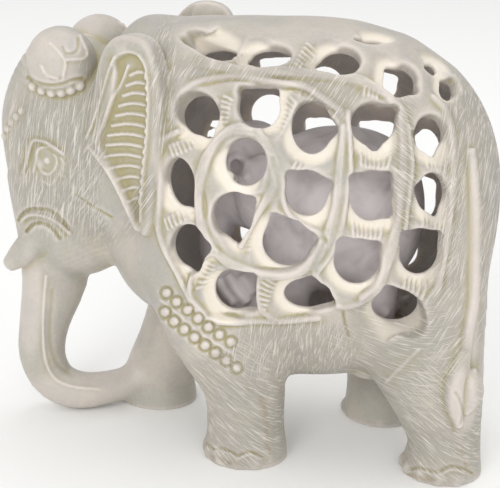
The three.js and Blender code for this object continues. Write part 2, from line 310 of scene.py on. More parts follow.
@dataclass
class Egg(Form):
    """An egg: a ball with its own reach along each axis, turned with the head if asked."""

    middle: tuple[float, float, float]
    reach: tuple[float, float, float]
    turned: bool = False
    square: float = 2.0        # 2 is round; more brings out its corners

    def __post_init__(self) -> None:
        """Moves the middle with the head."""
        self.spin = -HEAD_TURN if self.turned else 0.0
        x, y = turn_head(self.middle[0], self.middle[1], self.spin)
        self.place = np.array([x, y, self.middle[2]], np.float32)

    def box(self) -> tuple[np.ndarray, np.ndarray]:
        """Returns a box that holds the egg at any turn."""
        size = np.array([max(self.reach)] * 3)
        return self.place - size, self.place + size

    def distance(self, x: np.ndarray, y: np.ndarray, z: np.ndarray) -> np.ndarray:
        """Gives (k - 1) over the length of k's slope, k being the root of the sum of powers of the
        place over the reach.

        Args:
            x: Places' x in mm, ready to broadcast.
            y: Their y.
            z: Their z.

        Returns:
            Signed distances in mm.
        """
        x, y, z = x - self.place[0], y - self.place[1], z - self.place[2]
        spin = math.radians(self.spin)
        x, y = x * math.cos(spin) + y * math.sin(spin), y * math.cos(spin) - x * math.sin(spin)
        share = [np.abs(each / size) for each, size in zip((x, y, z), self.reach)]
        level = sum(each ** self.square for each in share) ** (1 / self.square)
        slope = np.sqrt(sum((each ** (self.square - 1) / size) ** 2 for each, size in zip(share, self.reach)))
        return ((level - 1) * level ** (self.square - 1) / np.maximum(slope, 1e-6)).astype(np.float32)


@dataclass
class Limb(Form):
    """A round section carried along a smooth path, as wide and as deep as each stop says."""

    stops: list[tuple[float, float, float, float, float]]
    turned: bool = False
    per_span: int = 4
    end: float = 0.4           # how far its ends bulge, as a share of their half thickness

    def __post_init__(self) -> None:
        """Works out the path, its sizes, and the frame of each short piece of it."""
        course = smooth_course(np.array(self.stops, float), self.per_span)
        path, sizes = course[:, :3], course[:, 3:] / 2
        forward = np.diff(path, axis=0)
        self.lengths = np.linalg.norm(forward, axis=1)
        self.forward = forward / self.lengths[:, None]
        deep = np.cross(self.forward, [0.0, 1.0, 0.0])
        self.deep = deep / np.linalg.norm(deep, axis=1)[:, None]
        self.wide = np.cross(self.forward, self.deep)
        self.sizes = sizes
        if self.turned:
            for rows, pivot in ((path, NECK_X), (self.forward, 0), (self.deep, 0), (self.wide, 0)):
                x, y = turn_head(rows[:, 0] - pivot + NECK_X, rows[:, 1], -HEAD_TURN)
                rows[:, 0], rows[:, 1] = x - NECK_X + pivot, y
        self.path = path.astype(np.float32)
        self.forward, self.deep, self.wide = (
            rows.astype(np.float32) for rows in (self.forward, self.deep, self.wide))
        self.sizes, self.lengths = self.sizes.astype(np.float32), self.lengths.astype(np.float32)

    def box(self) -> tuple[np.ndarray, np.ndarray]:
        """Returns a box round the whole path and its thickness."""
        reach = self.sizes.max()
        return self.path.min(0) - reach, self.path.max(0) + reach

    def distance(self, x: np.ndarray, y: np.ndarray, z: np.ndarray) -> np.ndarray:
        """Gives the least, over the short pieces, of |q| (1 - 1/r), q being the offset from the
        piece's middle line and r its length once each part is over the section's half size.

        Args:
            x: Places' x in mm, ready to broadcast.
            y: Their y.
            z: Their z.

        Returns:
            Signed distances in mm.
        """
        shape = np.broadcast_shapes(x.shape, y.shape, z.shape)
        least = np.full(shape, OUTSIDE, np.float32)
        for k, length in enumerate(self.lengths):
            start, stop = self.path[k], self.path[k + 1]
            reach = max(self.sizes[k].max(), self.sizes[k + 1].max()) + 7
            lows, highs = np.minimum(start, stop) - reach, np.maximum(start, stop) + reach
            spans = tuple(
                slice(int(np.searchsorted(axis.ravel(), lo)), int(np.searchsorted(axis.ravel(), hi)))
                for axis, lo, hi in zip((x, y, z), lows, highs))
            offset = [x[spans[0]] - start[0], y[:, spans[1]] - start[1], z[:, :, spans[2]] - start[2]]
            along = sum(part * axis for part, axis in zip(offset, self.forward[k]))
            share = np.clip(along / length, 0, 1)
            beyond = along - share * length
            width = self.sizes[k, 0] + share * (self.sizes[k + 1, 0] - self.sizes[k, 0])
            depth = self.sizes[k, 1] + share * (self.sizes[k + 1, 1] - self.sizes[k, 1])
            aside = sum(part * axis for part, axis in zip(offset, self.wide[k]))
            down = sum(part * axis for part, axis in zip(offset, self.deep[k]))
            bulge = np.minimum(width, depth) * self.end
            ratio = np.sqrt((aside / width) ** 2 + (down / depth) ** 2 + (beyond / bulge) ** 2)
            size = np.sqrt(aside ** 2 + down ** 2 + beyond ** 2)
            found = np.where(ratio > 0.05, size * (1 - 1 / np.maximum(ratio, 0.05)),
                             -np.minimum(width, depth))
            part = least[spans]
            np.minimum(part, found.astype(np.float32), out=part)
        return least


def mirrored(stops: list[tuple[float, ...]]) -> list[tuple[float, ...]]:
    """Gives stops with their y turned over."""
    return [(stop[0], -stop[1], *stop[2:]) for stop in stops]


def even_spots(course: tuple, count: int) -> np.ndarray:
    """Spaces spots evenly along a course, from its start to its end.

    Args:
        course: The course's points in pixels.
        count: How many spots.

    Returns:
        The spots in pixels, one a row.
    """
    path = smooth_course(np.array(course, float), 6)
    run = np.concatenate([[0], np.cumsum(np.linalg.norm(np.diff(path, axis=0), axis=1))])
    share = np.linspace(0, run[-1], count)
    return np.stack([np.interp(share, run, path[:, axis]) for axis in range(2)], axis=1)


BEAD_HEIGHT = 0.95             # a drawn bead's dome in mm, before it is sunk
BEAD_SINK = 0.2                # how far the dome is sunk
RING_GAP = 0.15                # from the dome's edge to the middle of the groove round it
RING_HALF = 0.5                # half that groove's width
RING_DEPTH = 0.5               # and its depth


class Drawing:
    """A flat sheet of heights in mm, drawn with strokes, that a surface is raised by."""

    def __init__(self, low: tuple[float, float], high: tuple[float, float], step: float,
                 unit: float = 1.0, stretch: Callable[[float], float] | None = None) -> None:
        """Lays out the sheet.

        Args:
            low: The sheet's lowest coordinates.
            high: The sheet's highest coordinates.
            step: The distance between its samples.
            unit: Coordinates to one mm.
            stretch: Millimetres up the sheet to one of its units, as a function of the first
                coordinate.
        """
        self.low, self.step, self.unit, self.stretch = np.array(low), step, unit, stretch
        self.u = np.arange(low[0], high[0] + step, step)
        self.v = np.arange(low[1], high[1] + step, step)
        self.height = np.zeros((len(self.u), len(self.v)), np.float32)

    def along(self, course: np.ndarray, reach: float) -> tuple[tuple, np.ndarray]:
        """Measures the sheet's distances from a course, in the window that they matter in.

        Args:
            course: The course's points, one a row.
            reach: How far from it the distances matter, in mm.

        Returns:
            The window's slices, and the distances in mm.
        """
        margin = reach * self.unit * 1.6
        lows, highs = course.min(0) - margin, course.max(0) + margin
        spans = tuple(
            slice(int(np.searchsorted(axis, lo)), max(1, int(np.searchsorted(axis, hi))))
            for axis, lo, hi in zip((self.u, self.v), lows, highs))
        u, v = self.u[spans[0]][:, None], self.v[spans[1]][None, :]
        least = np.full((u.shape[0], v.shape[1]), 99.0)
        for start, stop in zip(course[:-1], course[1:]):
            scale = 1.0 if self.stretch is None else float(self.stretch((start[0] + stop[0]) / 2))
            run, rise = stop[0] - start[0], (stop[1] - start[1]) * scale
            aside, above = u - start[0], (v - start[1]) * scale
            share = np.clip((aside * run + above * rise) / max(run * run + rise * rise, 1e-9), 0, 1)
            gap = np.hypot(aside - share * run, above - share * rise) / self.unit
            np.minimum(least, gap, out=least)
        return spans, least

    def stroke(self, points: np.ndarray, half: float, height: float, closed: bool = False) -> None:
        """Draws one rounded ridge or groove: height times (1 + cos(pi d / half)) / 2.

        Args:
            points: The stroke's course.
            half: Half its width in mm.
            height: How far it stands up in mm; below zero cuts a groove.
            closed: Whether the course comes back to its start.
        """
        course = smooth_course(np.asarray(points, float), 6, closed)
        if closed:
            course = np.vstack([course, course[:1]])
        spans, gap = self.along(course, half)
        self.height[spans] += height * 0.5 * (1 + np.cos(np.pi * np.clip(gap / half, 0, 1)))

    def band(self, points: np.ndarray, half: float, height: float) -> None:
        """Lays a band with a flat top over whatever is drawn, and a thin raised line down its edges.

        Args:
            points: The band's course.
            half: Half its width in mm.
            height: The height of its top in mm.
        """
        spans, gap = self.along(smooth_course(np.asarray(points, float), 3), half + 0.6)
        cover = 1 - smooth_step(half * 0.55, half + 0.45, gap)
        crest = height * (1 + 0.35 * np.cos(np.pi * np.clip(gap / half, 0, 1)) ** 2)
        self.height[spans] += cover * (crest - self.height[spans])

    def bead(self, middle: tuple[float, float], radius: float) -> None:
        """Draws a low dome with a groove round it.

        Args:
            middle: The bead's middle.
            radius: The dome's radius in mm.
        """
        spans, gap = self.along(np.array([middle, middle]) + [[0, 0], [0, 1e-3]], radius + 1)
        dome = BEAD_HEIGHT * np.sqrt(np.clip(1 - (gap / radius) ** 2, 0, 1))
        ring = 0.5 * (1 + np.cos(np.pi * np.clip((gap - radius - RING_GAP) / RING_HALF, -1, 1)))
        self.height[spans] += np.where(gap < radius, dome - BEAD_SINK, 0) - RING_DEPTH * ring

    def sample(self, sheet: np.ndarray, u: np.ndarray, v: np.ndarray) -> np.ndarray:
        """Reads a sheet at any places, mixing the four samples round each.

        Args:
            sheet: The sheet's values.
            u: Places' first coordinates.
            v: Their second coordinates.

        Returns:
            One value for each place.
        """
        across = np.clip((u - self.low[0]) / self.step, 0, len(self.u) - 1.001)
        up = np.clip((v - self.low[1]) / self.step, 0, len(self.v) - 1.001)
        i, j = across.astype(np.int32), up.astype(np.int32)
        across, up = across - i, up - j
        return (sheet[i, j] * (1 - across) * (1 - up) + sheet[i + 1, j] * across * (1 - up)
                + sheet[i, j + 1] * (1 - across) * up + sheet[i + 1, j + 1] * across * up)


def outline_distance(drawing: Drawing, outline: np.ndarray, reach: float) -> tuple[tuple, np.ndarray]:
    """Gives signed distances in mm from a closed outline: below zero inside.

    Args:
        drawing: The sheet.
        outline: The outline's points, without the first one again at the end.
        reach: How far outside it the distances are wanted, in mm.

    Returns:
        The window of the sheet, and the distances in it.
    """
    loop = np.vstack([outline, outline[:1]])
    spans, gap = drawing.along(loop, reach)
    u, v = drawing.u[spans[0]][:, None], drawing.v[spans[1]][None, :]
    inside = np.zeros(gap.shape, bool)
    for start, stop in zip(loop[:-1], loop[1:]):
        crosses = (start[1] > v) != (stop[1] > v)
        rise = stop[1] - start[1]
        where = start[0] + (v - start[1]) / (rise if abs(rise) > 1e-9 else 1e-9) * (stop[0] - start[0])
        inside ^= crosses & (u < where)
    return spans, np.where(inside, -gap, gap)


@dataclass
class Opening:
    """One opening of the lattice as the photograph shows it: its box in pixels and its corners."""

    left: float
    right: float
    top: float
    bottom: float
    corners: tuple[float, ...] = ()   # directions of its points, degrees anticlockwise from right
    lip: float = 270.0                # direction in which its scooped lip is widest
    lean: float = 0.0                 # degrees that it is turned anticlockwise
    point: float = 0.3                # how far a point is drawn out, as a share of the radius
    point_spread: float = 16.0        # degrees round a point over which it is drawn out

    def outline(self, count: int = 40) -> np.ndarray:
        """Draws an ellipse drawn out towards each of its points, fitted to its box.

        Args:
            count: How many places the outline has.

        Returns:
            The outline in pixels, one place a row.
        """
        turn = np.linspace(0, 2 * np.pi, count, endpoint=False)
        grow = np.ones(count)
        for corner in self.corners:
            away = (np.degrees(turn) - corner + 180) % 360 - 180
            grow += self.point * np.exp(-(away / self.point_spread) ** 2)
        cosine, sine = math.cos(math.radians(self.lean)), math.sin(math.radians(self.lean))
        tall = (self.bottom - self.top) / (self.right - self.left)
        across, up = np.cos(turn) * grow, np.sin(turn) * grow * tall
        across, up = across * cosine - up * sine, up * cosine + across * sine
        across = (across - across.min()) / np.ptp(across)
        up = (up - up.min()) / np.ptp(up)
        return np.stack([self.left + across * (self.right - self.left),
                         self.bottom - up * (self.bottom - self.top)], axis=1)


@dataclass
class Barrel(Form):
    """The barrel: a squared ellipsoid, hollowed, pierced and carved on both flanks."""

    middle: tuple[float, float, float] = (14.0, 0.0, 64.0)
    reach: tuple[float, float, float] = (46.4, 30.0, 43.2)
    square: float = 2.3
    rim: float = 0.7           # width of the worn edge round an opening
    rim_drop: float = 0.35     # how far that edge is worn down
    scoop: float = 3.9         # extra width of the scooped lip of an opening
    scoop_drop: float = 2.3    # extra depth of that lip at the opening's edge
    scoop_curve: float = 1.6   # power that its depth falls off with: more makes it hollower
    lip_turn: tuple[float, float] = (-0.35, 0.85)   # cosines to its own way that it widens between
    saddle_half: float = 1.5   # half the width of the step under the saddle band
    saddle_drop: float = 0.9   # depth of that step
    flute_share: float = 0.13  # half a flute's width in mm to one pixel of its spacing
    flute_height: float = 0.6
    inner_fade: tuple[float, float] = (-2.4, -1.0)   # depths in mm that the carving fades between
    outer_fade: tuple[float, float] = (1.2, 2.6)
    hollow_fillet: float = 0.8
    bore_fillet: float = 0.7
    bore_out: float = 6.0      # how far a bore goes outside the skin
    bore_in: float = 5.0       # and past the inner wall
    openings: tuple[Opening, ...] = (
        Opening(172, 198, 31, 39, (), 90), Opening(355, 388, 34, 43, (180,), 90),
        Opening(425, 441, 58, 72, (140,), 90),
        Opening(192, 236, 42, 61, (200,), 60), Opening(245, 291, 43, 65, (200,), 180),
        Opening(315, 361, 45, 75, (190,), 180), Opening(385, 419, 62, 95, (130, 320), 190),
        Opening(444, 459, 75, 98, (130,), 190),
        Opening(178, 217, 92, 138, (295,), 290), Opening(237, 279, 84, 128, (45, 135), 0),
        Opening(291, 338, 99, 154, (355,), 260), Opening(351, 399, 101, 151, (275, 35)),
        Opening(416, 447, 114, 157, (285,)),
        Opening(164, 194, 158, 210, (300,), 275, 10), Opening(223, 266, 138, 187, (), 225),
        Opening(285, 333, 170, 218, (135, 20), 280), Opening(349, 395, 171, 223, (140, 45, 320)),
        Opening(415, 448, 173, 219, (170, 290)),
        Opening(169, 212, 225, 276, (0, 285), 300), Opening(211, 255, 193, 246, (35, 280), 335),
        Opening(261, 318, 214, 269, (115, 10), 215), Opening(334, 382, 238, 288, (130, 40), 245),
        Opening(400, 444, 229, 278, (140, 40)),
        Opening(212, 257, 270, 315, (40, 320), 205), Opening(283, 336, 277, 313, (80, 335), 190),
        Opening(373, 422, 286, 327, (110,), 230),
    )
    # Raised bands that wind between the openings: course in pixels, half width and height in mm.
    bands: tuple[tuple, ...] = (
        (((346, 128), (342, 160), (339, 190), (334, 214), (327, 240), (315, 259), (296, 273), (277, 276),
          (256, 273), (232, 264), (213, 250), (203, 231), (198, 205), (199, 184), (207, 157), (219, 138),
          (236, 129), (257, 131)), 1.15, 0.55),
        (((257, 131), (269, 149), (275, 168), (273, 188), (261, 208), (250, 228), (240, 246)), 0.9, 0.3),
        (((272, 160), (281, 180), (285, 206), (296, 222), (318, 234), (324, 240)), 0.7, 0.1),
        (((173, 116), (179, 102), (189, 91), (205, 82), (230, 76), (250, 77), (270, 81), (303, 86), (322, 98),
          (340, 111), (349, 126), (348, 160), (346, 198), (340, 228), (330, 255), (316, 272)), 0.75, 0.35),
        (((168, 72), (190, 66), (220, 67), (252, 71), (290, 72), (322, 75), (358, 80), (383, 92), (399, 109),
          (404, 130), (405, 160), (403, 190), (399, 218), (392, 246), (384, 270), (377, 288), (364, 298)),
         1.15, 0.5),
        (((408, 126), (412, 160), (409, 195), (405, 228)), 0.35, 0.75),
        (((351, 172), (350, 140), (348, 112)), 0.35, 0.75),
        (((434, 98), (446, 112), (453, 140), (453, 178), (451, 208), (447, 238), (442, 268), (434, 288),
          (423, 302)), 0.7, 0.45),
        (((178, 132), (166, 141), (160, 158), (160, 184), (159, 207), (158, 226), (164, 248), (174, 268),
          (189, 293), (203, 310), (226, 319), (258, 321), (290, 321), (318, 318)), 0.6, 0.5),
        (((216, 250), (198, 263), (191, 279), (192, 295), (206, 310)), 0.5, 0.55),
        (((257, 276), (258, 300), (264, 312), (276, 321)), 0.6, 0.35),
        (((322, 242), (315, 266), (320, 285), (330, 301), (347, 307), (364, 301), (376, 290)), 0.6, 0.35),
    )
    # The step under the hatched saddle band, cut in along its lower edge.
    saddle_edge: tuple[tuple[float, float], ...] = (
        (173, 112), (180, 98), (188, 91), (203, 83), (229, 77), (249, 78), (266, 83), (288, 85), (306, 92),
        (320, 100), (332, 110))
    # Rows of flutes on the lips: middle, length, count, spacing, direction in the picture, fan.
    fluting: tuple[tuple, ...] = (
        ((375, 161), 15, 7, 4.6, 80, -3), ((367, 232), 16, 7, 4.6, 80, -3), ((438, 164), 12, 5, 4.4, 75, -3),
        ((433, 224), 12, 5, 4.4, 75, -3), ((417, 287), 14, 6, 4.6, 60, -3),
        ((182, 147), 12, 6, 4.2, 115, 4), ((176, 219), 11, 6, 4.2, 120, 5),
        ((205, 276), 15, 6, 4.6, 175, -4), ((264, 294), 14, 7, 4.8, 155, -4),
        ((285, 112), 12, 7, 4.8, 150, -5), ((225, 110), 9, 6, 4.8, 165, -5), ((242, 56), 9, 4, 4.6, 120, 0),
        ((306, 57), 12, 6, 4.6, 150, 0), ((246, 240), 9, 5, 4.6, 170, 0), ((303, 170), 9, 5, 4.8, 60, 0),
        ((371, 92), 9, 4, 4.4, 80, 0),
    )

    def __post_init__(self) -> None:
        """Measures the section and draws both sheets of the flank."""
        self.centre, self.radii = np.array(self.middle), np.array(self.reach)
        lifts = np.radians(np.arange(-90, 90.5, 0.5))
        radius = (np.abs(np.cos(lifts) / self.reach[1]) ** self.square
                  + np.abs(np.sin(lifts) / self.reach[2]) ** self.square) ** (-1 / self.square)
        rim = np.stack([radius * np.cos(lifts), radius * np.sin(lifts)], axis=1)
        arc = np.concatenate([[0], np.cumsum(np.linalg.norm(np.diff(rim, axis=0), axis=1))])
        self.lifts, self.arcs = lifts, arc - arc[len(arc) // 2]
        self.sheet = Drawing((-34, -62), (62, 62), 0.25, stretch=self.section)
        self.away = np.full(self.sheet.height.shape, OUTSIDE, np.float32)
        self.draw()

    def box(self) -> tuple[np.ndarray, np.ndarray]:
        """Returns the barrel's corners."""
        return self.centre - self.radii, self.centre + self.radii

    def section(self, along: np.ndarray) -> np.ndarray:
        """The section's size at a place along the barrel, as a share of its size at the middle."""
        share = np.clip(np.abs((along - self.middle[0]) / self.reach[0]), 0, 0.995)
        return (1 - share ** self.square) ** (1 / self.square)

    def depth(self, x: np.ndarray, y: np.ndarray, z: np.ndarray) -> tuple[np.ndarray, list[np.ndarray]]:
        """Gives (g - 1) over the length of g's slope, where g is the root of the sum of powers of
        place over reach.

        Args:
            x: Places' x in mm, ready to broadcast.
            y: Their y.
            z: Their z.

        Returns:
            The signed depths in mm, and the three parts of the outward direction.
        """
        offset = [axis - mid for axis, mid in zip((x, y, z), self.middle)]
        power = [np.abs(part / size) ** self.square for part, size in zip(offset, self.reach)]
        level = np.maximum(sum(power) ** (1 / self.square), 1e-3)
        slope = [np.sign(part) * np.abs(part / size) ** (self.square - 1) / size
                 for part, size in zip(offset, self.reach)]
        pull = level ** (1 - self.square)
        length = np.sqrt(sum(each ** 2 for each in slope))
        return (level - 1) / (pull * length), [each / length for each in slope]

    def distance(self, x: np.ndarray, y: np.ndarray, z: np.ndarray) -> np.ndarray:
        """The signed depth below the barrel's own skin."""
        return self.depth(x, y, z)[0].astype(np.float32)

    def unroll(self, places: np.ndarray) -> np.ndarray:
        """Lays places on the skin flat: along the barrel, and up its arc from the middle line."""
        lift = np.arctan2(places[:, 2] - self.middle[2], np.abs(places[:, 1]))
        return np.stack([places[:, 0], np.interp(lift, self.lifts, self.arcs)], axis=1)

    def meet(self, pixels: np.ndarray) -> np.ndarray:
        """Finds where the lines through pixels meet the skin, and lays those places flat.

        Args:
            pixels: Pixel pairs, one a row.

        Returns:
            Places along the barrel and up its arc, one a row.
        """
        places = VIEW.walk(pixels, 80, 0.1)
        depth = self.depth(places[..., 0], places[..., 1], places[..., 2])[0]
        first = np.where((depth < 0).any(1), np.argmax(depth < 0, axis=1), np.argmin(depth, axis=1))
        return self.unroll(places[np.arange(len(pixels)), first])

    def draw(self) -> None:
        """Draws the openings, and the bands, the step and the flutes between them."""
        sheet = self.sheet
        for opening in self.openings:
            outline = self.meet(opening.outline())
            spans, gap = outline_distance(sheet, outline, 6)
            middle = (outline.min(0) + outline.max(0)) / 2
            u, v = sheet.u[spans[0]][:, None] - middle[0], sheet.v[spans[1]][None, :] - middle[1]
            lip = math.radians(opening.lip)
            toward = (u * math.cos(lip) + v * math.sin(lip)) / np.maximum(np.hypot(u, v), 1e-6)
            toward = smooth_step(*self.lip_turn, toward)
            width = self.rim + self.scoop * toward
            bare = 1 - np.clip(np.maximum(gap, 0) / width, 0, 1)
            worn = bare ** self.scoop_curve * (self.rim_drop + self.scoop_drop * toward)
            sheet.height[spans] = np.minimum(sheet.height[spans], -worn)
            self.away[spans] = np.minimum(self.away[spans], gap)
        step = self.meet(smooth_course(np.array(self.saddle_edge, float), 3))
        sheet.stroke(step, self.saddle_half, -self.saddle_drop)
        for middle, length, count, spacing, degrees, fan in self.fluting:
            self.flute(middle, length, count, spacing, degrees, fan)
        for course, half, height in self.bands:
            sheet.band(self.meet(smooth_course(np.array(course, float), 3)), half, height)

    def flute(self, middle: tuple[float, float], length: float, count: int, spacing: float,
              degrees: float, fan: float) -> None:
        """Draws one row of flutes.

        Args:
            middle: The row's middle in pixels.
            length: A flute's length in pixels.
            count: How many flutes.
            spacing: From one to the next, in pixels.
            degrees: The direction of the middle one, anticlockwise from right.
            fan: How much each one turns from the one before, in degrees.
        """
        for k in range(count):
            step = k - (count - 1) / 2
            turn, across = math.radians(degrees + fan * step), math.radians(degrees - 90)
            spot = np.array(middle) + step * spacing * np.array([math.cos(across), -math.sin(across)])
            arm = np.array([math.cos(turn), -math.sin(turn)]) * length / 2
            ends = self.meet(np.array([spot - arm, spot + arm]))
            self.sheet.stroke(ends, spacing * self.flute_share, self.flute_height)

    def carve(self, stone: Stone) -> None:
        """Raises the flank's carving on the stone, hollows the barrel and pierces its wall.

        Args:
            stone: The stone's distances.
        """
        spans, x, y, z = stone.window(*self.box(), 7)
        value = stone.value[spans]
        depth, slope = self.depth(x, y, z)
        near = np.nonzero(np.abs(depth) < OUTSIDE)
        under = depth[near]
        foot = [np.broadcast_to(axis, depth.shape)[near] - under * part[near]
                for axis, part in zip((x, y, z), slope)]
        flat = self.unroll(np.stack(foot, axis=1))
        raised = self.sheet.sample(self.sheet.height, flat[:, 0], flat[:, 1])
        away = self.sheet.sample(self.away, flat[:, 0], flat[:, 1])
        raised *= smooth_step(*self.inner_fade, under)
        raised *= 1 - smooth_step(*self.outer_fade, under)
        value[near] -= raised
        value = smooth_cut(value, depth + SHELL_WALL, self.hollow_fillet)
        bore = np.maximum(away, np.maximum(under - self.bore_out, -under - SHELL_WALL - self.bore_in))
        value[near] = smooth_cut(value[near], bore.astype(np.float32), self.bore_fillet)
        stone.value[spans] = value


@dataclass
class Ear(Form):
    """An ear: a slab with a plain rim round a hollow field of ribs, and a roll down its front."""

    flank: Flank
    thickness: float = 5.0
    flare: float = 12.0        # degrees that its back edge stands out
    root: float = 19.5         # from the head's middle plane to its outer face
    far_shift: tuple[float, float, float] = (2.4, 5.0, 2.8)   # the far ear: back, out and up
    # Heights up the ribbed field, with where a rib starts and ends there.
    rib_ends: tuple[tuple[float, float, float], ...] = (
        (62, 4.6, 5.4), (66, 2.2, 6.0), (70, -0.4, 6.2), (76.5, -5.0, 6.4), (80, -4.4, 6.6), (87, -1.4, 6.8),
        (96, 2.2, 7.0))
    # Ridges and grooves on its face: course, half width and height.
    ridges: tuple[tuple, ...] = (
        (((-1.4, 98.6), (-3, 95.4), (-5.2, 89), (-7.6, 82.6), (-9.8, 78.4)), 0.55, 0.75),
        (((-2.4, 96.4), (-4, 92), (-6, 86), (-8.4, 79.6)), 0.7, -0.4),
        (((1.6, 97), (0.2, 93.6), (-2.4, 88.4), (-5, 81.8), (-6.9, 77.6)), 0.6, 0.7),
        (((-9, 76.2), (-5, 73.2), (-2.2, 70.4), (1.5, 65.4), (5.4, 58.8)), 1.15, 1.5),
        (((5.4, 100), (7.4, 97), (8.1, 91), (7.9, 83), (7.1, 75), (6.3, 66), (6.2, 61)), 0.8, 0.45),
    )
    outline: tuple[tuple[float, float], ...] = (
        (-10.4, 77.6), (-8.4, 88), (-6.2, 98), (-2.3, 103), (3.5, 104), (8, 101.6), (10.6, 94), (11, 84),
        (10, 71), (9.2, 61), (7.2, 57.2), (4.6, 59), (-2.2, 69.6), (-8, 75.4))
    hollow: tuple[tuple[float, float], ...] = (
        (-1.4, 98.3), (1.8, 100.2), (5.2, 99.6), (7.2, 96.6), (7.8, 90), (7.6, 82), (6.8, 74), (6, 66),
        (5.3, 60), (1.7, 66.2), (-2, 71.4), (-5.6, 75.6), (-6.6, 78), (-5, 81.9), (-2.6, 88.9), (-1.6, 94))
    hollow_depth: float = 1.35
    ribs: int = 13
    rib_low: float = 65.6      # height of the lowest rib
    rib_high: float = 95.6     # and of the highest
    rib_half: float = 0.62
    rib_height: float = 0.8
    rim_fillet: float = 1.4    # how round its edge is

    def __post_init__(self) -> None:
        """Draws the ear's face, as distances behind the neck and heights."""
        self.sign = self.flank.value
        self.shift = self.far_shift if self.flank is Flank.FAR else (0.0, 0.0, 0.0)
        sheet = Drawing((-20, 48), (18, 112), 0.25)
        rim = smooth_course(np.array(self.outline, float), 6, True)
        self.edge = np.full(sheet.height.shape, 12.0, np.float32)
        spans, gap = outline_distance(sheet, rim, 9)
        self.edge[spans] = gap
        field_line = smooth_course(np.array(self.hollow, float), 6, True)
        spans, gap = outline_distance(sheet, field_line, 3)
        sheet.height[spans] -= self.hollow_depth * (1 - smooth_step(-1.0, 0.2, gap))
        lows, fronts, backs = zip(*self.rib_ends)
        for height in np.linspace(self.rib_low, self.rib_high, self.ribs):
            front, back = np.interp(height, lows, fronts), np.interp(height, lows, backs)
            rib = [(front, height - 0.9), ((front + back) / 2, height + 0.3), (back, height + 0.3),
                   (back + 0.8, height - 0.5)]
            sheet.stroke(np.array(rib), self.rib_half, self.rib_height)
        for course, half, height in self.ridges:
            sheet.stroke(np.array(course), half, height)
        self.sheet = sheet

    def box(self) -> tuple[np.ndarray, np.ndarray]:
        """Works out a box round the turned ear.

        Returns:
            Its lowest and highest corners in mm.
        """
        x, y = turn_head(NECK_X + self.shift[0], self.sign * self.root + self.shift[1], -HEAD_TURN)
        low = np.array([x - 14, y - 9, 52 + self.shift[2]])
        return low, np.array([x + 14, y + 9, 108 + self.shift[2]])

    def flat(self, x: np.ndarray, y: np.ndarray, z: np.ndarray) -> tuple:
        """Lays places in the ear's own plane.

        Args:
            x: Places' x in mm.
            y: Their y.
            z: Their z.

        Returns:
            How far they lie back from the neck, up, and out from the ear's face.
        """
        x, y = turn_head(x, y, HEAD_TURN)
        back, out = x - NECK_X - self.shift[0], y - self.sign * self.root - self.shift[1]
        flare = math.radians(self.sign * self.flare)
        back, out = (back * math.cos(flare) + out * math.sin(flare),
                     out * math.cos(flare) - back * math.sin(flare))
        return back, z - self.shift[2], out * self.sign

    def distance(self, x: np.ndarray, y: np.ndarray, z: np.ndarray) -> np.ndarray:
        """Gives the largest of: outside the outline, above the drawn face, and below the back.

        Args:
            x: Places' x in mm, ready to broadcast.
            y: Their y.
            z: Their z.

        Returns:
            Signed distances in mm.
        """
        back, up, out = self.flat(x, y, z)
        back, up, out = np.broadcast_arrays(back, up, out)
        edge = self.sheet.sample(self.edge, back, up)
        face = out - self.sheet.sample(self.sheet.height, back, up)
        body = -smooth_union(-edge, -face, self.rim_fillet)
        return np.maximum(body, -out - self.thickness).astype(np.float32)


def head_side(x: np.ndarray, y: np.ndarray, flank: Flank) -> tuple[np.ndarray, np.ndarray]:
    """Carries places over to the head's other half, through its own plane, for the far flank.

    Args:
        x: Places' x in mm.
        y: Their y.
        flank: The flank that they are wanted for.

    Returns:
        Their x and y there; as they were for the near flank.
    """
    if flank is Flank.NEAR:
        return x, y
    x, y = turn_head(x, y, HEAD_TURN)
    return turn_head(x, -y, -HEAD_TURN)


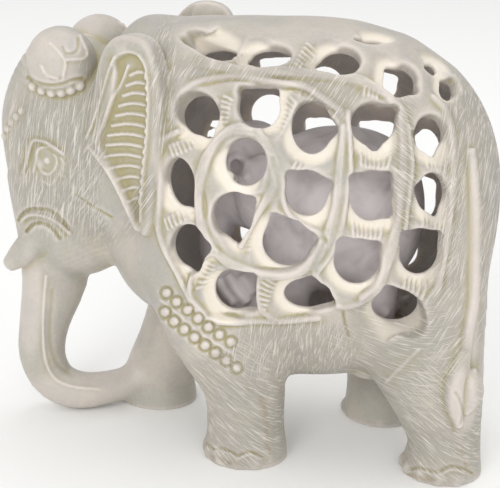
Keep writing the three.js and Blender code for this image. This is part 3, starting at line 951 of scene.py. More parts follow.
@dataclass
class SideCarving:
    """Lines carved on the head, legs and trunk, drawn as the photograph shows them in pixels."""

    bead: float = 1.3          # radius of a shoulder bead in mm
    skin_depth: float = 1.6    # how far either side of the skin the carving is laid, in mm
    facing: tuple[float, float] = (0.05, 0.45)   # cosines to the camera that it comes in between
    # Course, half width in mm, height in mm. A row of beads has no width, and how many instead.
    shoulder: tuple[tuple, ...] = (
        (((166.5, 293), (178, 303), (188, 310), (207, 326), (231, 342)), 0, 7),
        (((165, 312), (175, 322), (193, 336), (214, 352), (237, 368)), 0, 8),
        (((160, 300), (176, 313), (200, 333), (236, 356)), 0.4, 0.25),
    )
    head: tuple[tuple, ...] = (
        (((23, 172), (26, 163), (29, 150), (33, 141), (42, 141), (52, 146), (63, 154)), 0.7, 0.8),
        (((33, 172), (36, 161), (38, 150), (47, 147), (56, 153), (66, 165)), 0.45, 0.5),
        (((31, 160), (34, 148), (40, 144.5), (50, 149), (60, 157)), 0.4, -0.35),
        (((39, 166), (42, 172), (48, 174.5), (54, 170), (57, 161), (54, 154)), 0.4, 0.45),
        (((46.2, 160.5), (46.8, 161.5)), 1.3, 0.7),
        (((42, 181), (50, 185), (55, 180)), 0.4, 0.35),
        (((58, 174), (66, 178), (63, 183)), 0.35, 0.3),
        (((50, 190), (58, 200)), 0.35, -0.25),
        (((76, 194), (92, 206), (112, 217)), 0.45, -0.5),
        (((19, 220), (24, 213), (32, 209), (48, 210), (60, 218), (69, 229)), 0.7, -0.8),
        (((22, 220), (30, 215.5), (42, 216), (56, 222), (70, 234)), 0.7, 0.85),
        (((27, 231), (34, 224), (42, 223), (51, 227), (60, 238)), 0.7, -0.8),
        (((50, 43), (60, 53), (65, 63), (63, 78)), 0.45, 0.45),
        (((41, 66), (47, 76), (58, 79)), 0.6, 0.5),
        (((44, 74), (54, 80), (63, 77)), 0.35, -0.35),
        (((66, 60), (76, 59.5), (85, 58), (87, 51), (80, 36)), 0.5, 0.6),
        (((63, 47), (66, 53), (73, 53.5), (78, 48), (78, 38)), 0.5, -0.5),
        (((28, 77), (36, 82), (48, 85), (62, 84), (72, 80), (82, 78)), 0.7, -0.6),
    )
    trunk: tuple[tuple, ...] = (
        (((46, 276), (44, 300), (43, 330), (46, 362), (57, 380), (76, 387), (99, 389)), 0.6, 0.4),
        (((52, 290), (50, 335), (56, 362), (72, 376)), 1.0, -0.25),
    )
    body: tuple[tuple, ...] = (
        (((418, 350), (402, 366), (386, 382)), 0.8, 0.35),
        (((206, 443), (214, 449), (222, 448), (229, 451), (238, 455.5), (247, 452), (256, 453.5), (268, 460)),
         0.5, -0.55),
        (((222, 452.5), (230, 453), (238, 458.5), (247, 455), (254, 456.5), (260, 459)), 0.4, 0.4),
        (((407, 469), (421, 468), (437, 472), (451, 466), (464, 469), (472, 473)), 0.5, -0.55),
        (((408, 472), (421, 471), (437, 475.5), (451, 470), (464, 472)), 0.4, 0.4),
        (((343, 312), (345, 324), (349, 336)), 0.6, -0.5),
        (((455, 392), (459, 398), (463, 412), (460, 424)), 0.4, -0.4),
    )

    def sheet(self, strokes: tuple[tuple, ...]) -> Drawing:
        """Draws strokes on a sheet in pixels.

        Args:
            strokes: Each stroke's course, half width and height.

        Returns:
            The sheet.
        """
        drawing = Drawing((0, 0), (VIEW.width, VIEW.height), 0.8, unit=VIEW.scale)
        for course, half, height in strokes:
            if half:
                drawing.stroke(np.array(course, float), half, height)
            else:
                for middle in even_spots(course, height):
                    drawing.bead(middle, self.bead)
        return drawing

    def press(self, stone: Stone, strokes: tuple[tuple, ...], low: tuple, high: tuple,
              head: bool, flanks: tuple[Flank, ...]) -> None:
        """Raises strokes on the skin that faces the camera, and on its mirror image.

        Args:
            stone: The stone.
            strokes: Each stroke's course, half width and height.
            low: The lowest corner of what is carved, on the near side.
            high: Its highest corner.
            head: Whether it is mirrored in the turned head's plane instead of the body's.
            flanks: The flanks to carve.
        """
        drawing = self.sheet(strokes)
        toward = VIEW.axes()[2]
        for flank in flanks:
            corners = np.array([low, high], float)
            if flank is Flank.FAR:
                corners[:, 1] = -corners[::-1, 1]
                corners[:, 0] += (-9, 9) if head else (0, 0)
            spans, x, y, z = stone.window(corners[0], corners[1], 0)
            value = stone.value[spans]
            near = np.nonzero(np.abs(value) < self.skin_depth)
            slopes = np.gradient(value, stone.pitch)
            here = [np.broadcast_to(axis, value.shape)[near] for axis in (x, y, z)]
            slope = [each[near] for each in slopes]
            if flank is Flank.FAR:
                ahead = head_side(here[0] + slope[0], here[1] + slope[1], flank) if head else (
                    here[0] + slope[0], -here[1] - slope[1])
                here[0], here[1] = head_side(here[0], here[1], flank) if head else (here[0], -here[1])
                slope[0], slope[1] = ahead[0] - here[0], ahead[1] - here[1]
            facing = sum(each * axis for each, axis in zip(slope, toward))
            facing /= np.maximum(np.sqrt(sum(each ** 2 for each in slope)), 1e-6)
            column, row = VIEW.project(*here)
            value[near] -= (drawing.sample(drawing.height, column, row)
                            * smooth_step(*self.facing, facing)).astype(np.float32)
            stone.value[spans] = value


@dataclass
class Calf:
    """The calf that is left standing on the barrel's floor and faces as the elephant does."""

    # Each mass: an egg, and the fillet that it joins with in mm.
    masses: tuple[tuple[Egg, float], ...] = (
        (Egg((22, 0, 60.5), (20.6, 16.8, 20.5), square=2.3), 1.0),   # its barrel
        (Egg((0, 0, 68), (10.5, 10.5, 13.5)), 4.0))                  # its head
    ear: tuple = ((4, 9.8, 66), (7, 2.6, 10))     # middle and reach
    leg_places: tuple[float, ...] = (11, 32)      # how far along its legs stand
    # A leg's stops: ahead of its own place, across, up, width and depth in mm.
    leg: tuple = (
        (1, 6.5, 58, 11, 13), (0, 7.5, 42, 9.6, 10.6), (0, 7.5, 30, 9.4, 10.2), (0, 7.5, 22, 10, 11))
    crease_heights: tuple[float, ...] = (35, 39, 43)
    # A crease's stops: along, across, and up from its height.
    crease: tuple = ((10, 14, 0), (22, 17, -3), (34, 14, 0))
    crease_width: float = 1.4
    snout: tuple = (
        (-4, 0, 66, 10, 11), (-8.4, 0, 54, 8, 8.4), (-8.6, 0, 44, 6.6, 6.8), (-4, 0, 36, 6, 6),
        (-2, 0, 26, 5.6, 5.6))
    cheek: tuple[Egg, float] = (Egg((-1, -9, 40), (9, 5, 9)), 3.0)
    room: tuple = ((-20, -20, 18), (48, 20, 90))  # corners of the box that it stands in
    joint: float = 1.2         # fillet where it meets the stone round it
    eye: tuple[float, float] = (236, 167)         # in pixels
    eye_reach: tuple[float, float, float] = (1.6, 4.2, 1.6)
    # What stands out inside the barrel: courses in pixels, and thickness in mm.
    folds: tuple = (
        (((229, 160), (235, 156), (243, 157), (248, 163)), 1.3), (((230, 175), (237, 180), (247, 177)), 1.6),
        (((219, 280), (224, 291), (234, 303)), 2.2), (((229, 276), (236, 288), (247, 301)), 2.8),
        (((242, 276), (248, 284), (253, 292)), 2.2), (((384, 312), (396, 307), (408, 300)), 2.6),
    )

    def shape(self, calf: Stone) -> None:
        """Joins the calf's own masses and cuts its creases.

        Args:
            calf: An empty grid.
        """
        for egg, fillet in self.masses:
            calf.join(egg, fillet)
        (along, across, up), reach = self.ear
        for flank in Flank:
            side = flank.value
            calf.join(Egg((along, side * across, up), reach), 0.8)
            for place in self.leg_places:
                leg = [(place + ahead, side * out, *rest) for ahead, out, *rest in self.leg]
                calf.join(Limb(leg), 2.5)
            for height in self.crease_heights:
                crease = [(x, side * out, height + rise, self.crease_width, self.crease_width)
                          for x, out, rise in self.crease]
                calf.cut(Limb(crease), 0.8)
        calf.join(Limb(list(self.snout)), 2.0)
        calf.join(*self.cheek)

    def carve(self, stone: Stone) -> None:
        """Leaves the calf standing in the stone, with its eye and the folds beside it.

        Args:
            stone: The stone's distances, the barrel hollowed.
        """
        calf = Stone(tuple(stone.low), tuple(axis[-1] for axis in stone.axes), stone.pitch)
        calf.value = np.full(stone.value.shape, OUTSIDE, np.float32)
        self.shape(calf)
        spans = stone.window(*self.room, 0)[0]
        stone.value[spans] = smooth_union(stone.value[spans], calf.value[spans], self.joint)
        eye = stone.meet(np.array([self.eye]))[0]
        for course, size in self.folds:
            places = stone.meet(np.array(course, float))
            stone.join(Limb([(*place, size, size) for place in places], per_span=3), 1.0)
        stone.cut(Egg(tuple(eye), self.eye_reach), 0.4)


@dataclass
class Elephant:
    """The whole carving: body, head, ears, tusks, trunk, legs, tail, beads, nails and calf."""

    face: tuple = (
        (-42.4, 0, 95, 19, 17), (-44.6, 0, 90, 28, 30), (-46, 0, 79, 32.4, 37), (-46, 0, 66, 31, 35),
        (-45, 0, 54, 28, 30.5), (-41, 0, 45, 23, 21), (-39.4, 0, 41.4, 14, 11))
    trunk: tuple = (
        (-50, 5, 62, 19, 24), (-50.6, 4.6, 48, 17.5, 20), (-51, 4, 36, 15, 17), (-53.6, 3.2, 24, 12.6, 13),
        (-54.2, 2.6, 15, 11.4, 12), (-51, 2.6, 8, 10.4, 11), (-44.4, 3, 5.3, 9.8, 9.8),
        (-36.6, 6.5, 5.4, 8.6, 8.6), (-29, 11, 6.6, 8.6, 8.6))
    near_front: tuple = (
        (-8, -8, 58, 20, 32), (-5, -14, 38, 21.6, 31), (1, -15, 20, 19.4, 21), (2, -15, 9, 18, 19),
        (2.2, -15, 1, 19.6, 20.8), (2.2, -15, -4, 19.6, 20.8))
    far_front: tuple = (
        (-8, 8, 58, 20, 32), (-13, 14, 36, 21, 27), (-20, 15, 19, 19, 20), (-24.6, 15, 8, 18, 18.6),
        (-25, 15, 1, 19.6, 20.4), (-25, 15, -4, 19.6, 20.4))
    near_hind: tuple = (
        (40, -7, 60, 22, 34), (42, -13.4, 40, 23.6, 34), (48.4, -15, 20, 21, 23), (51, -15, 9, 18, 17.8),
        (51, -15, 1, 19.2, 19.4), (51, -15, -4, 19.2, 19.4))
    far_hind: tuple = (
        (38, 7, 60, 22, 34), (37, 13.4, 40, 23.6, 32), (35.4, 15, 20, 20, 22), (34.8, 15, 9, 18, 18),
        (35, 15, 1, 19.2, 19.4), (35, 15, -4, 19.2, 19.4))
    tusk: tuple = (
        (-46, -9, 55.5, 9, 9), (-52, -9.6, 49, 8.2, 8), (-57, -9.8, 43.6, 6.4, 6.2), (-60, -9.8, 40.8, 4, 4))
    # Plain masses: an egg, and the fillet that it joins with in mm.
    masses: tuple[tuple[Egg, float], ...] = (
        (Egg((-6, 0, 84), (23, 17, 22)), 5.0),                   # withers
        (Egg((-16, 0, 80), (15, 20.6, 25.4), square=2.8), 4.0),  # shoulders
        (Egg((-26, 4, 93.4), (9, 10.5, 11.8)), 4.0),             # crest behind the domes
        (Egg((13, 0, 30), (30, 17, 11.6)), 4.0),                 # belly
        (Egg((-19, 0.5, 50), (16, 15, 18)), 5.0))                # chest
    skull: Egg = field(default_factory=lambda: Egg((-29, 0, 72), (14, 17, 28), True))
    mass_fillet: float = 4.0   # where legs, skull and face join
    trunk_fillet: float = 3.0
    dome: tuple = (-44.4, 10.6, 94.8)             # the far brow's dome; the near one is its mirror
    dome_radius: float = 8.3
    eye: tuple = (-47.4, 15.2, 70.4)
    eye_reach: tuple = (1.5, 1.3, 1.6)
    # Rows of round beads: how many, a bead's radius in mm, and the row's course in pixels.
    bead_rows: tuple = (
        (6, 1.35, ((34, 86.5), (45, 90.5), (56, 92.2), (67, 90.5), (79, 85.5))),   # over the forehead
        (5, 1.0, ((22, 111), (13, 121), (8, 129), (5, 136))))                      # down the brow
    # The tail in pixels, its last stop in mm from the one before, and its thickness at its root,
    # at the third stop and at its end.
    tail_course: tuple = ((470, 150), (473, 180), (475, 215), (475, 249), (474, 295), (467, 333), (464, 362))
    tail_end: tuple = (0.4, 0.2, -3)
    tail_sizes: tuple = (2.6, 3.4, 2.8)
    # The tuft, a leaf lobe and a bulb side by side on the thigh: course in pixels, thickness in mm.
    tuft: tuple = (
        (((463, 352), (458, 370), (454, 386), (454, 404), (459, 426)), (3.2, 4.4, 5.0, 4.6, 2.0)),
        (((470, 370), (471, 382), (470, 396), (464, 412)), (3.0, 5.6, 6.0, 2.6)),
    )
    nail_turns: tuple = (180, 208, 236, 264, 292)  # degrees round the foot from its back
    nail_place: tuple = (8.9, 8.6, 1.5)            # mm ahead and aside of the foot's middle, and up
    nail_reach: tuple = (1.7, 1.7, 2.0)
    barrel: Barrel = field(default_factory=Barrel)
    calf: Calf = field(default_factory=Calf)
    carving: SideCarving = field(default_factory=SideCarving)

    def sculpt(self) -> Stone:
        """Carves the whole elephant.

        Returns:
            The stone's distances.
        """
        stone = Stone((-66, -33, -1.5), (66, 33, 110), PITCH)
        self.block_out(stone)
        self.barrel.carve(stone)
        LOG.info("barrel carved and pierced")
        self.dress_head(stone)
        LOG.info("head carved")
        self.dress_body(stone)
        self.calf.carve(stone)
        LOG.info("calf carved")
        ground = stone.axes[2][None, None, :]
        stone.value = np.maximum(stone.value, -ground).astype(np.float32)
        return stone

    def legs(self) -> tuple[tuple, ...]:
        """Returns the stops of the four legs."""
        return self.near_front, self.far_front, self.near_hind, self.far_hind

    def block_out(self, stone: Stone) -> None:
        """Joins the main masses of the elephant.

        Args:
            stone: The stone's distances.
        """
        stone.join(self.barrel, 1.0)
        for egg, fillet in self.masses:
            stone.join(egg, fillet)
        for stops in self.legs():
            stone.join(Limb(list(stops)), self.mass_fillet)
        stone.join(self.skull, self.mass_fillet)
        stone.join(Limb(list(self.face), True, per_span=7), self.mass_fillet)
        stone.join(Limb(list(self.trunk), per_span=3), self.trunk_fillet)
        LOG.info("masses joined")

    def dress_head(self, stone: Stone) -> None:
        """Adds domes, tusks, ears, the head's and trunk's carved lines, eyes and the head's beads.

        Args:
            stone: The stone's distances.
        """
        for flank in Flank:
            along, across, up = self.dome
            middle = (along, flank.value * across, up)
            stone.join(Egg(middle, (self.dome_radius,) * 3, True), 0.8)
            tusk = list(self.tusk) if flank is Flank.NEAR else mirrored(self.tusk)
            stone.join(Limb(tusk, True), 1.2)
            ear = Ear(flank)
            spans, x, y, z = stone.window(*ear.box(), 3)
            outside = np.maximum(ear.distance(x, y, z), -self.barrel.distance(x, y, z) - SHELL_WALL)
            stone.value[spans] = smooth_union(stone.value[spans], outside, 1.0)
        self.carving.press(stone, self.carving.head, (-66, -26, 40), (-22, 6, 106), True, tuple(Flank))
        for flank in Flank:
            along, across, up = self.eye
            stone.join(Egg((along, flank.value * across, up), self.eye_reach, True), 0.5)
        self.carving.press(stone, self.carving.trunk, (-66, -14, 1), (-36, 10, 40), False, (Flank.NEAR,))
        for count, radius, course in self.bead_rows:
            self.string_beads(stone, course, count, radius)

    def dress_body(self, stone: Stone) -> None:
        """Adds the shoulder beads, the tail, the toenails and the carved folds.

        Args:
            stone: The stone's distances.
        """
        self.carving.press(stone, self.carving.shoulder, (-24, -32, 20), (8, -8, 50), False, tuple(Flank))
        course = stone.meet(np.array(self.tail_course, float))
        course = np.vstack([course, course[-1] + self.tail_end])
        sizes = np.interp(np.arange(len(course)), [0, 2, len(course) - 1], self.tail_sizes)
        stops = [(*place, size, size) for place, size in zip(course, sizes)]
        self.add_tuft(stone)
        stone.join(Limb(stops, per_span=3), 0.5)
        self.carving.press(stone, self.carving.body, (-14, -32, 0), (64, -6, 50), False, (Flank.NEAR,))
        self.add_nails(stone)

    def add_tuft(self, stone: Stone) -> None:
        """Lays the tail's tuft on the thigh.

        Args:
            stone: The stone's distances.
        """
        for course, sizes in self.tuft:
            places = stone.meet(np.array(course, float))
            stone.join(Limb([(*place, size, size) for place, size in zip(places, sizes)], per_span=3), 0.4)

    def add_nails(self, stone: Stone) -> None:
        """Adds the toenails: low eggs round the front of each foot.

        Args:
            stone: The stone's distances.
        """
        ahead, aside, up = self.nail_place
        for stops in self.legs():
            x, y = stops[-1][:2]
            for degrees in self.nail_turns:
                turn = math.radians(degrees) * -math.copysign(1, y)
                middle = (x + ahead * math.cos(turn), y + aside * math.sin(turn), up)
                stone.join(Egg(middle, self.nail_reach), 0.9)

    def string_beads(self, stone: Stone, course: tuple, count: int, radius: float) -> None:
        """Lays a row of beads on both sides of the head.

        Args:
            stone: The stone's distances.
            course: The row's course in pixels.
            count: How many beads.
            radius: A bead's radius in mm.
        """
        near = stone.meet(even_spots(course, count))
        x, y = head_side(near[:, 0], near[:, 1], Flank.FAR)
        for places in (near, np.stack([x, y, near[:, 2]], axis=1)):
            for place in places:
                stone.join(Egg(tuple(place), (radius,) * 3), 0.2)


def skin(stone: Stone) -> tuple[np.ndarray, np.ndarray]:
    """Draws the skin where the distance is zero.

    Each cube of the grid that the skin passes through gets one vertex, at the mean of the
    places where the skin crosses the cube's edges. Each edge of the grid that the skin
    crosses gets one four-sided face between the four cubes round it.

    Args:
        stone: The stone.

    Returns:
        The vertices in mm, and the faces as rows of four vertices.
    """
    value = stone.value
    inside = value < 0
    size = np.array(value.shape)
    corners = [tuple(corner) for corner in np.ndindex(2, 2, 2)]
    part = [slice(0, -1), slice(1, None)]
    total = sum(inside[part[a], part[b], part[c]].astype(np.uint8) for a, b, c in corners)
    cells = np.argwhere((total > 0) & (total < 8))
    number = np.full(size - 1, -1, np.int32)
    number[tuple(cells.T)] = np.arange(len(cells))
    at = {corner: value[tuple((cells + corner).T)] for corner in corners}
    place = np.zeros((len(cells), 3))
    count = np.zeros(len(cells))
    for start in corners:
        for axis in range(3):
            if start[axis]:
                continue
            stop = tuple(1 if k == axis else start[k] for k in range(3))
            first, second = at[start], at[stop]
            crossed = (first < 0) != (second < 0)
            share = np.where(crossed, first / np.where(crossed, first - second, 1), 0)
            spot = np.tile(np.array(start, float), (len(cells), 1))
            spot[:, axis] += share
            place[crossed] += spot[crossed]
            count += crossed
    vertices = stone.low + stone.pitch * (cells + place / count[:, None])
    faces = []
    for axis in range(3):
        ahead = [slice(None)] * 3
        behind = [slice(None)] * 3
        ahead[axis], behind[axis] = slice(1, None), slice(0, -1)
        change = inside[tuple(behind)] != inside[tuple(ahead)]
        edges = np.argwhere(change)
        second, third = (axis + 1) % 3, (axis + 2) % 3
        keep = (edges[:, second] > 0) & (edges[:, third] > 0)
        keep &= (edges[:, second] < size[second] - 1) & (edges[:, third] < size[third] - 1)
        edges = edges[keep]
        around = []
        for a, b in ((1, 1), (0, 1), (0, 0), (1, 0)):
            cell = edges.copy()
            cell[:, second] -= a
            cell[:, third] -= b
            around.append(number[tuple(cell.T)])
        quads = np.stack(around, axis=1)
        outward = inside[tuple(edges.T)]
        quads[~outward] = quads[~outward][:, ::-1]
        faces.append(quads)
    return vertices, np.vstack(faces)


def make_object(name: str, vertices: np.ndarray, faces: np.ndarray) -> bpy.types.Object:
    """Makes a mesh object from whole arrays.

    Args:
        name: The object's name.
        vertices: Vertices in mm, one a row.
        faces: Four-sided faces, as rows of four vertices.

    Returns:
        The object, in the scene.
    """
    mesh = bpy.data.meshes.new(name)
    mesh.vertices.add(len(vertices))
    mesh.vertices.foreach_set("co", (vertices * MM).astype(np.float32).ravel())
    mesh.loops.add(faces.size)
    mesh.loops.foreach_set("vertex_index", faces.astype(np.int32).ravel())
    mesh.polygons.add(len(faces))
    mesh.polygons.foreach_set("loop_start", np.arange(0, faces.size, 4, dtype=np.int32))
    mesh.update(calc_edges=True)
    mesh.validate()
    obj = bpy.data.objects.new(name, mesh)
    bpy.context.scene.collection.objects.link(obj)
    return obj


def thin_out(obj: bpy.types.Object, triangles: int) -> None:
    """Brings a mesh down to a number of triangles, flattest places first.

    Args:
        obj: The object.
        triangles: How many it may keep.
    """
    mesh = obj.data
    share = triangles / (2 * len(mesh.polygons))
    if share >= 1:
        return
    thinner = obj.modifiers.new("Thin out", "DECIMATE")
    thinner.ratio = share
    graph = bpy.context.evaluated_depsgraph_get()
    thinned = bpy.data.meshes.new_from_object(obj.evaluated_get(graph))
    obj.modifiers.clear()
    obj.data = thinned
    bpy.data.meshes.remove(mesh)


def blur(grid: np.ndarray, reach: int) -> np.ndarray:
    """Averages a grid over a cube of 2 reach + 1 samples each way, from running sums.

    Args:
        grid: The values.
        reach: How many samples the cube goes to each side.

    Returns:
        The averages, on the same grid.
    """
    for axis in range(3):
        pad = [(0, 0)] * 3
        pad[axis] = (reach + 1, reach)
        total = np.cumsum(np.pad(grid, pad, mode="edge"), axis=axis, dtype=np.float32)
        ahead, behind = [slice(None)] * 3, [slice(None)] * 3
        ahead[axis], behind[axis] = slice(2 * reach + 1, None), slice(0, -2 * reach - 1)
        grid = (total[tuple(ahead)] - total[tuple(behind)]) / (2 * reach + 1)
    return grid


@dataclass(frozen=True)
class Patch:
    """An area of the finish: an ellipse in pixels of the photograph's frame, soft at its edge."""

    middle: tuple[float, float]
    reach: tuple[float, float]

    def weight(self, column: np.ndarray, row: np.ndarray) -> np.ndarray:
        """Gives 1 inside seven tenths of the ellipse, falling to 0 just outside it."""
        out = np.hypot((column - self.middle[0]) / self.reach[0], (row - self.middle[1]) / self.reach[1])
        return 1 - smooth_step(0.7, 1.1, out)


# Where rasp scratches show, by the way that they run; the same patches also get painted shade.
SCRATCHES = {
    "upright": (Patch((70, 150), (80, 95)), Patch((164, 90), (16, 75)), Patch((290, 348), (80, 34)),
                Patch((470, 190), (40, 130))),
    "rising": (Patch((245, 68), (110, 16)), Patch((455, 270), (36, 130)), Patch((330, 96), (36, 26)),
               Patch((110, 190), (50, 60))),
    "falling": (Patch((235, 405), (60, 80)), Patch((440, 425), (50, 75)), Patch((404, 170), (14, 110))),
    "rounding": (Patch((400, 350), (80, 64)),),
}
# Where the stone is rubbed smooth, where it is painted paler (partly paler polished stone, partly painted
# light on the trunk's lit left edge and tip), and the courses of its rusty cracks.
POLISHED = (Patch((128, 116), (26, 84)), Patch((472, 255), (9, 120)), Patch((463, 400), (16, 34)),
            Patch((200, 330), (44, 26)), Patch((57, 82), (36, 20)), Patch((46, 160), (20, 17)),
            Patch((116, 194), (18, 42)))
PALE = (Patch((74, 396), (62, 24)), Patch((55, 56), (36, 32)), Patch((30, 300), (14, 60)),
        Patch((474, 255), (6, 120)), Patch((463, 400), (16, 34)))
RUST = (((262, 396), (264, 410), (267, 425), (266, 440), (270, 452)),
        ((451, 424), (457, 438), (463, 452), (466, 468)), ((248, 388), (256, 398), (262, 404)),
        ((408, 474), (420, 478), (436, 480)), ((212, 456), (226, 462), (240, 464)))
RUST_HALF = 0.7                # half the width of a rusty crack in mm
FINE_REACH = 0.75              # how far round a place its ridges and grooves are judged, in mm
BROAD_REACH = 2.6              # the same for sheltered hollows, where painted shade goes
FACE_FRONT = -34.0             # the head ahead of this x is scratched only where it faces sideways
NEAR_FLANK = -8.0              # rusty cracks show on the near flank, below this y
# The groove and shelter marks tint grooves and hollows olive, partly dirt held there and partly painted
# shade. The ridge mark is a painted highlight.
GROOVE = (9.0, 0.15)           # what that mark gains for a mm, and what is taken off it
RIDGE = (7.0, 0.25)
SHELTER = (1.4, 0.1)
LIP_WORN = (0.3, 1.2)          # mm cut off the skin that the lips' mark comes in between
LIP_DEPTH = (1.4, 2.6)         # mm above the skin that it goes out between
MARKS = ("groove", "ridge", "shelter", "inside", "lip", "pale", "crack", *SCRATCHES)


def covered(patches: tuple[Patch, ...], column: np.ndarray, row: np.ndarray) -> np.ndarray:
    """Adds up the weights of patches, up to 1."""
    return np.clip(sum(patch.weight(column, row) for patch in patches), 0, 1)


def finish_marks(places: np.ndarray, normals: np.ndarray, stone: Stone,
                 barrel: Barrel) -> dict[str, np.ndarray]:
    """Works out how deep, how worn and how scratched each place on the skin is, and where painted highlight
    and shade go.

    Ridges and grooves are the mean distance over a small cube less the distance at its middle:
    above zero on a ridge and below zero in a groove.

    Args:
        places: Places in mm, one a row.
        normals: The skin's outward directions there.
        stone: The stone's distances.
        barrel: The barrel, whose skin tells inside from outside.

    Returns:
        Each mark's values from 0 to 1, by name.
    """
    fine, broad = (stone.sample(blur(stone.value, round(reach / stone.pitch)) - stone.value, places)
                   for reach in (FINE_REACH, BROAD_REACH))
    depth = barrel.depth(places[:, 0], places[:, 1], places[:, 2])[0]
    marks = {
        # groove: olive in fine grooves, partly dirt and partly painted shade
        "groove": np.clip(-fine * GROOVE[0] - GROOVE[1], 0, 1),
        # ridge: a painted highlight, lilac along convex ridges and edges
        "ridge": np.clip(fine * RIDGE[0] - RIDGE[1], 0, 1),
        # shelter: olive in broad sheltered hollows, partly dirt and partly painted shade
        "shelter": np.clip(-broad * SHELTER[0] - SHELTER[1], 0, 1),
        "inside": 1 - smooth_step(-SHELL_WALL - 2.0, -SHELL_WALL * 0.5, depth),
    }
    outside = 1 - marks["inside"]
    flat = barrel.unroll(places)
    worn = -barrel.sheet.sample(barrel.sheet.height, flat[:, 0], flat[:, 1])
    # lip: ivory on the scooped lips of the openings, partly paler stone and partly painted light where they
    # face up into the light
    marks["lip"] = smooth_step(*LIP_WORN, worn) * outside * (1 - smooth_step(*LIP_DEPTH, depth))
    folded = np.where(places[:, 1] > 0, -places[:, 1], places[:, 1])
    column, row = VIEW.project(places[:, 0], folded, places[:, 2])
    # pale: lilac patches, partly paler polished stone and partly painted light on the trunk's lit edge and
    # tip
    marks["pale"] = covered(PALE, column, row) * outside
    sideways = smooth_step(0.2, 0.55, np.abs(normals[:, 1]))
    dull = (1 - covered(POLISHED, column, row)) * outside * np.where(places[:, 0] < FACE_FRONT, sideways, 1)
    for name, patches in SCRATCHES.items():
        marks[name] = covered(patches, column, row) * dull
    cracks = Drawing((0, 0), (VIEW.width, VIEW.height), 0.8, unit=VIEW.scale)
    for course in RUST:
        cracks.stroke(np.array(course, float), RUST_HALF, 1.0)
    marks["crack"] = np.clip(cracks.sample(cracks.height, column, row), 0, 1) * (places[:, 1] < NEAR_FLANK)
    return marks


def mark_surface(obj: bpy.types.Object, stone: Stone, barrel: Barrel) -> None:
    """Writes the marks on the vertices, for the finish to read.

    Args:
        obj: The carving, still in the maker's frame.
        stone: The stone's distances.
        barrel: The barrel.
    """
    mesh = obj.data
    places, normals = np.empty((2, len(mesh.vertices) * 3), np.float32)
    mesh.vertices.foreach_get("co", places)
    mesh.vertices.foreach_get("normal", normals)
    marks = finish_marks(places.reshape(-1, 3) / MM, normals.reshape(-1, 3), stone, barrel)
    for name in MARKS:
        layer = mesh.attributes.new(name, "FLOAT", "POINT")
        layer.data.foreach_set("value", marks[name].astype(np.float32))


def linear(code: str) -> tuple[float, float, float, float]:
    """Turns an sRGB colour into linear light.

    Args:
        code: Its hex code.

    Returns:
        Red, green, blue and a cover of 1.
    """
    parts = [int(code[k:k + 2], 16) / 255 for k in (1, 3, 5)]
    bright = [part / 12.92 if part <= 0.04045 else ((part + 0.055) / 1.055) ** 2.4 for part in parts]
    return (*bright, 1.0)


def add_node(tree: bpy.types.NodeTree, kind: str, settings: dict | None = None,
             links: dict | None = None) -> bpy.types.Node:
    """Adds one node with its settings and links.

    Args:
        tree: The node tree.
        kind: The node's type name.
        settings: Attributes by name, and input values by socket name or number.
        links: Output sockets by the name or number of the input that they feed.

    Returns:
        The node.
    """
    node = tree.nodes.new(kind)
    for name, value in (settings or {}).items():
        if isinstance(name, str) and hasattr(node, name):
            setattr(node, name, value)
        else:
            node.inputs[name].default_value = value
    for name, source in (links or {}).items():
        tree.links.new(source, node.inputs[name])
    return node


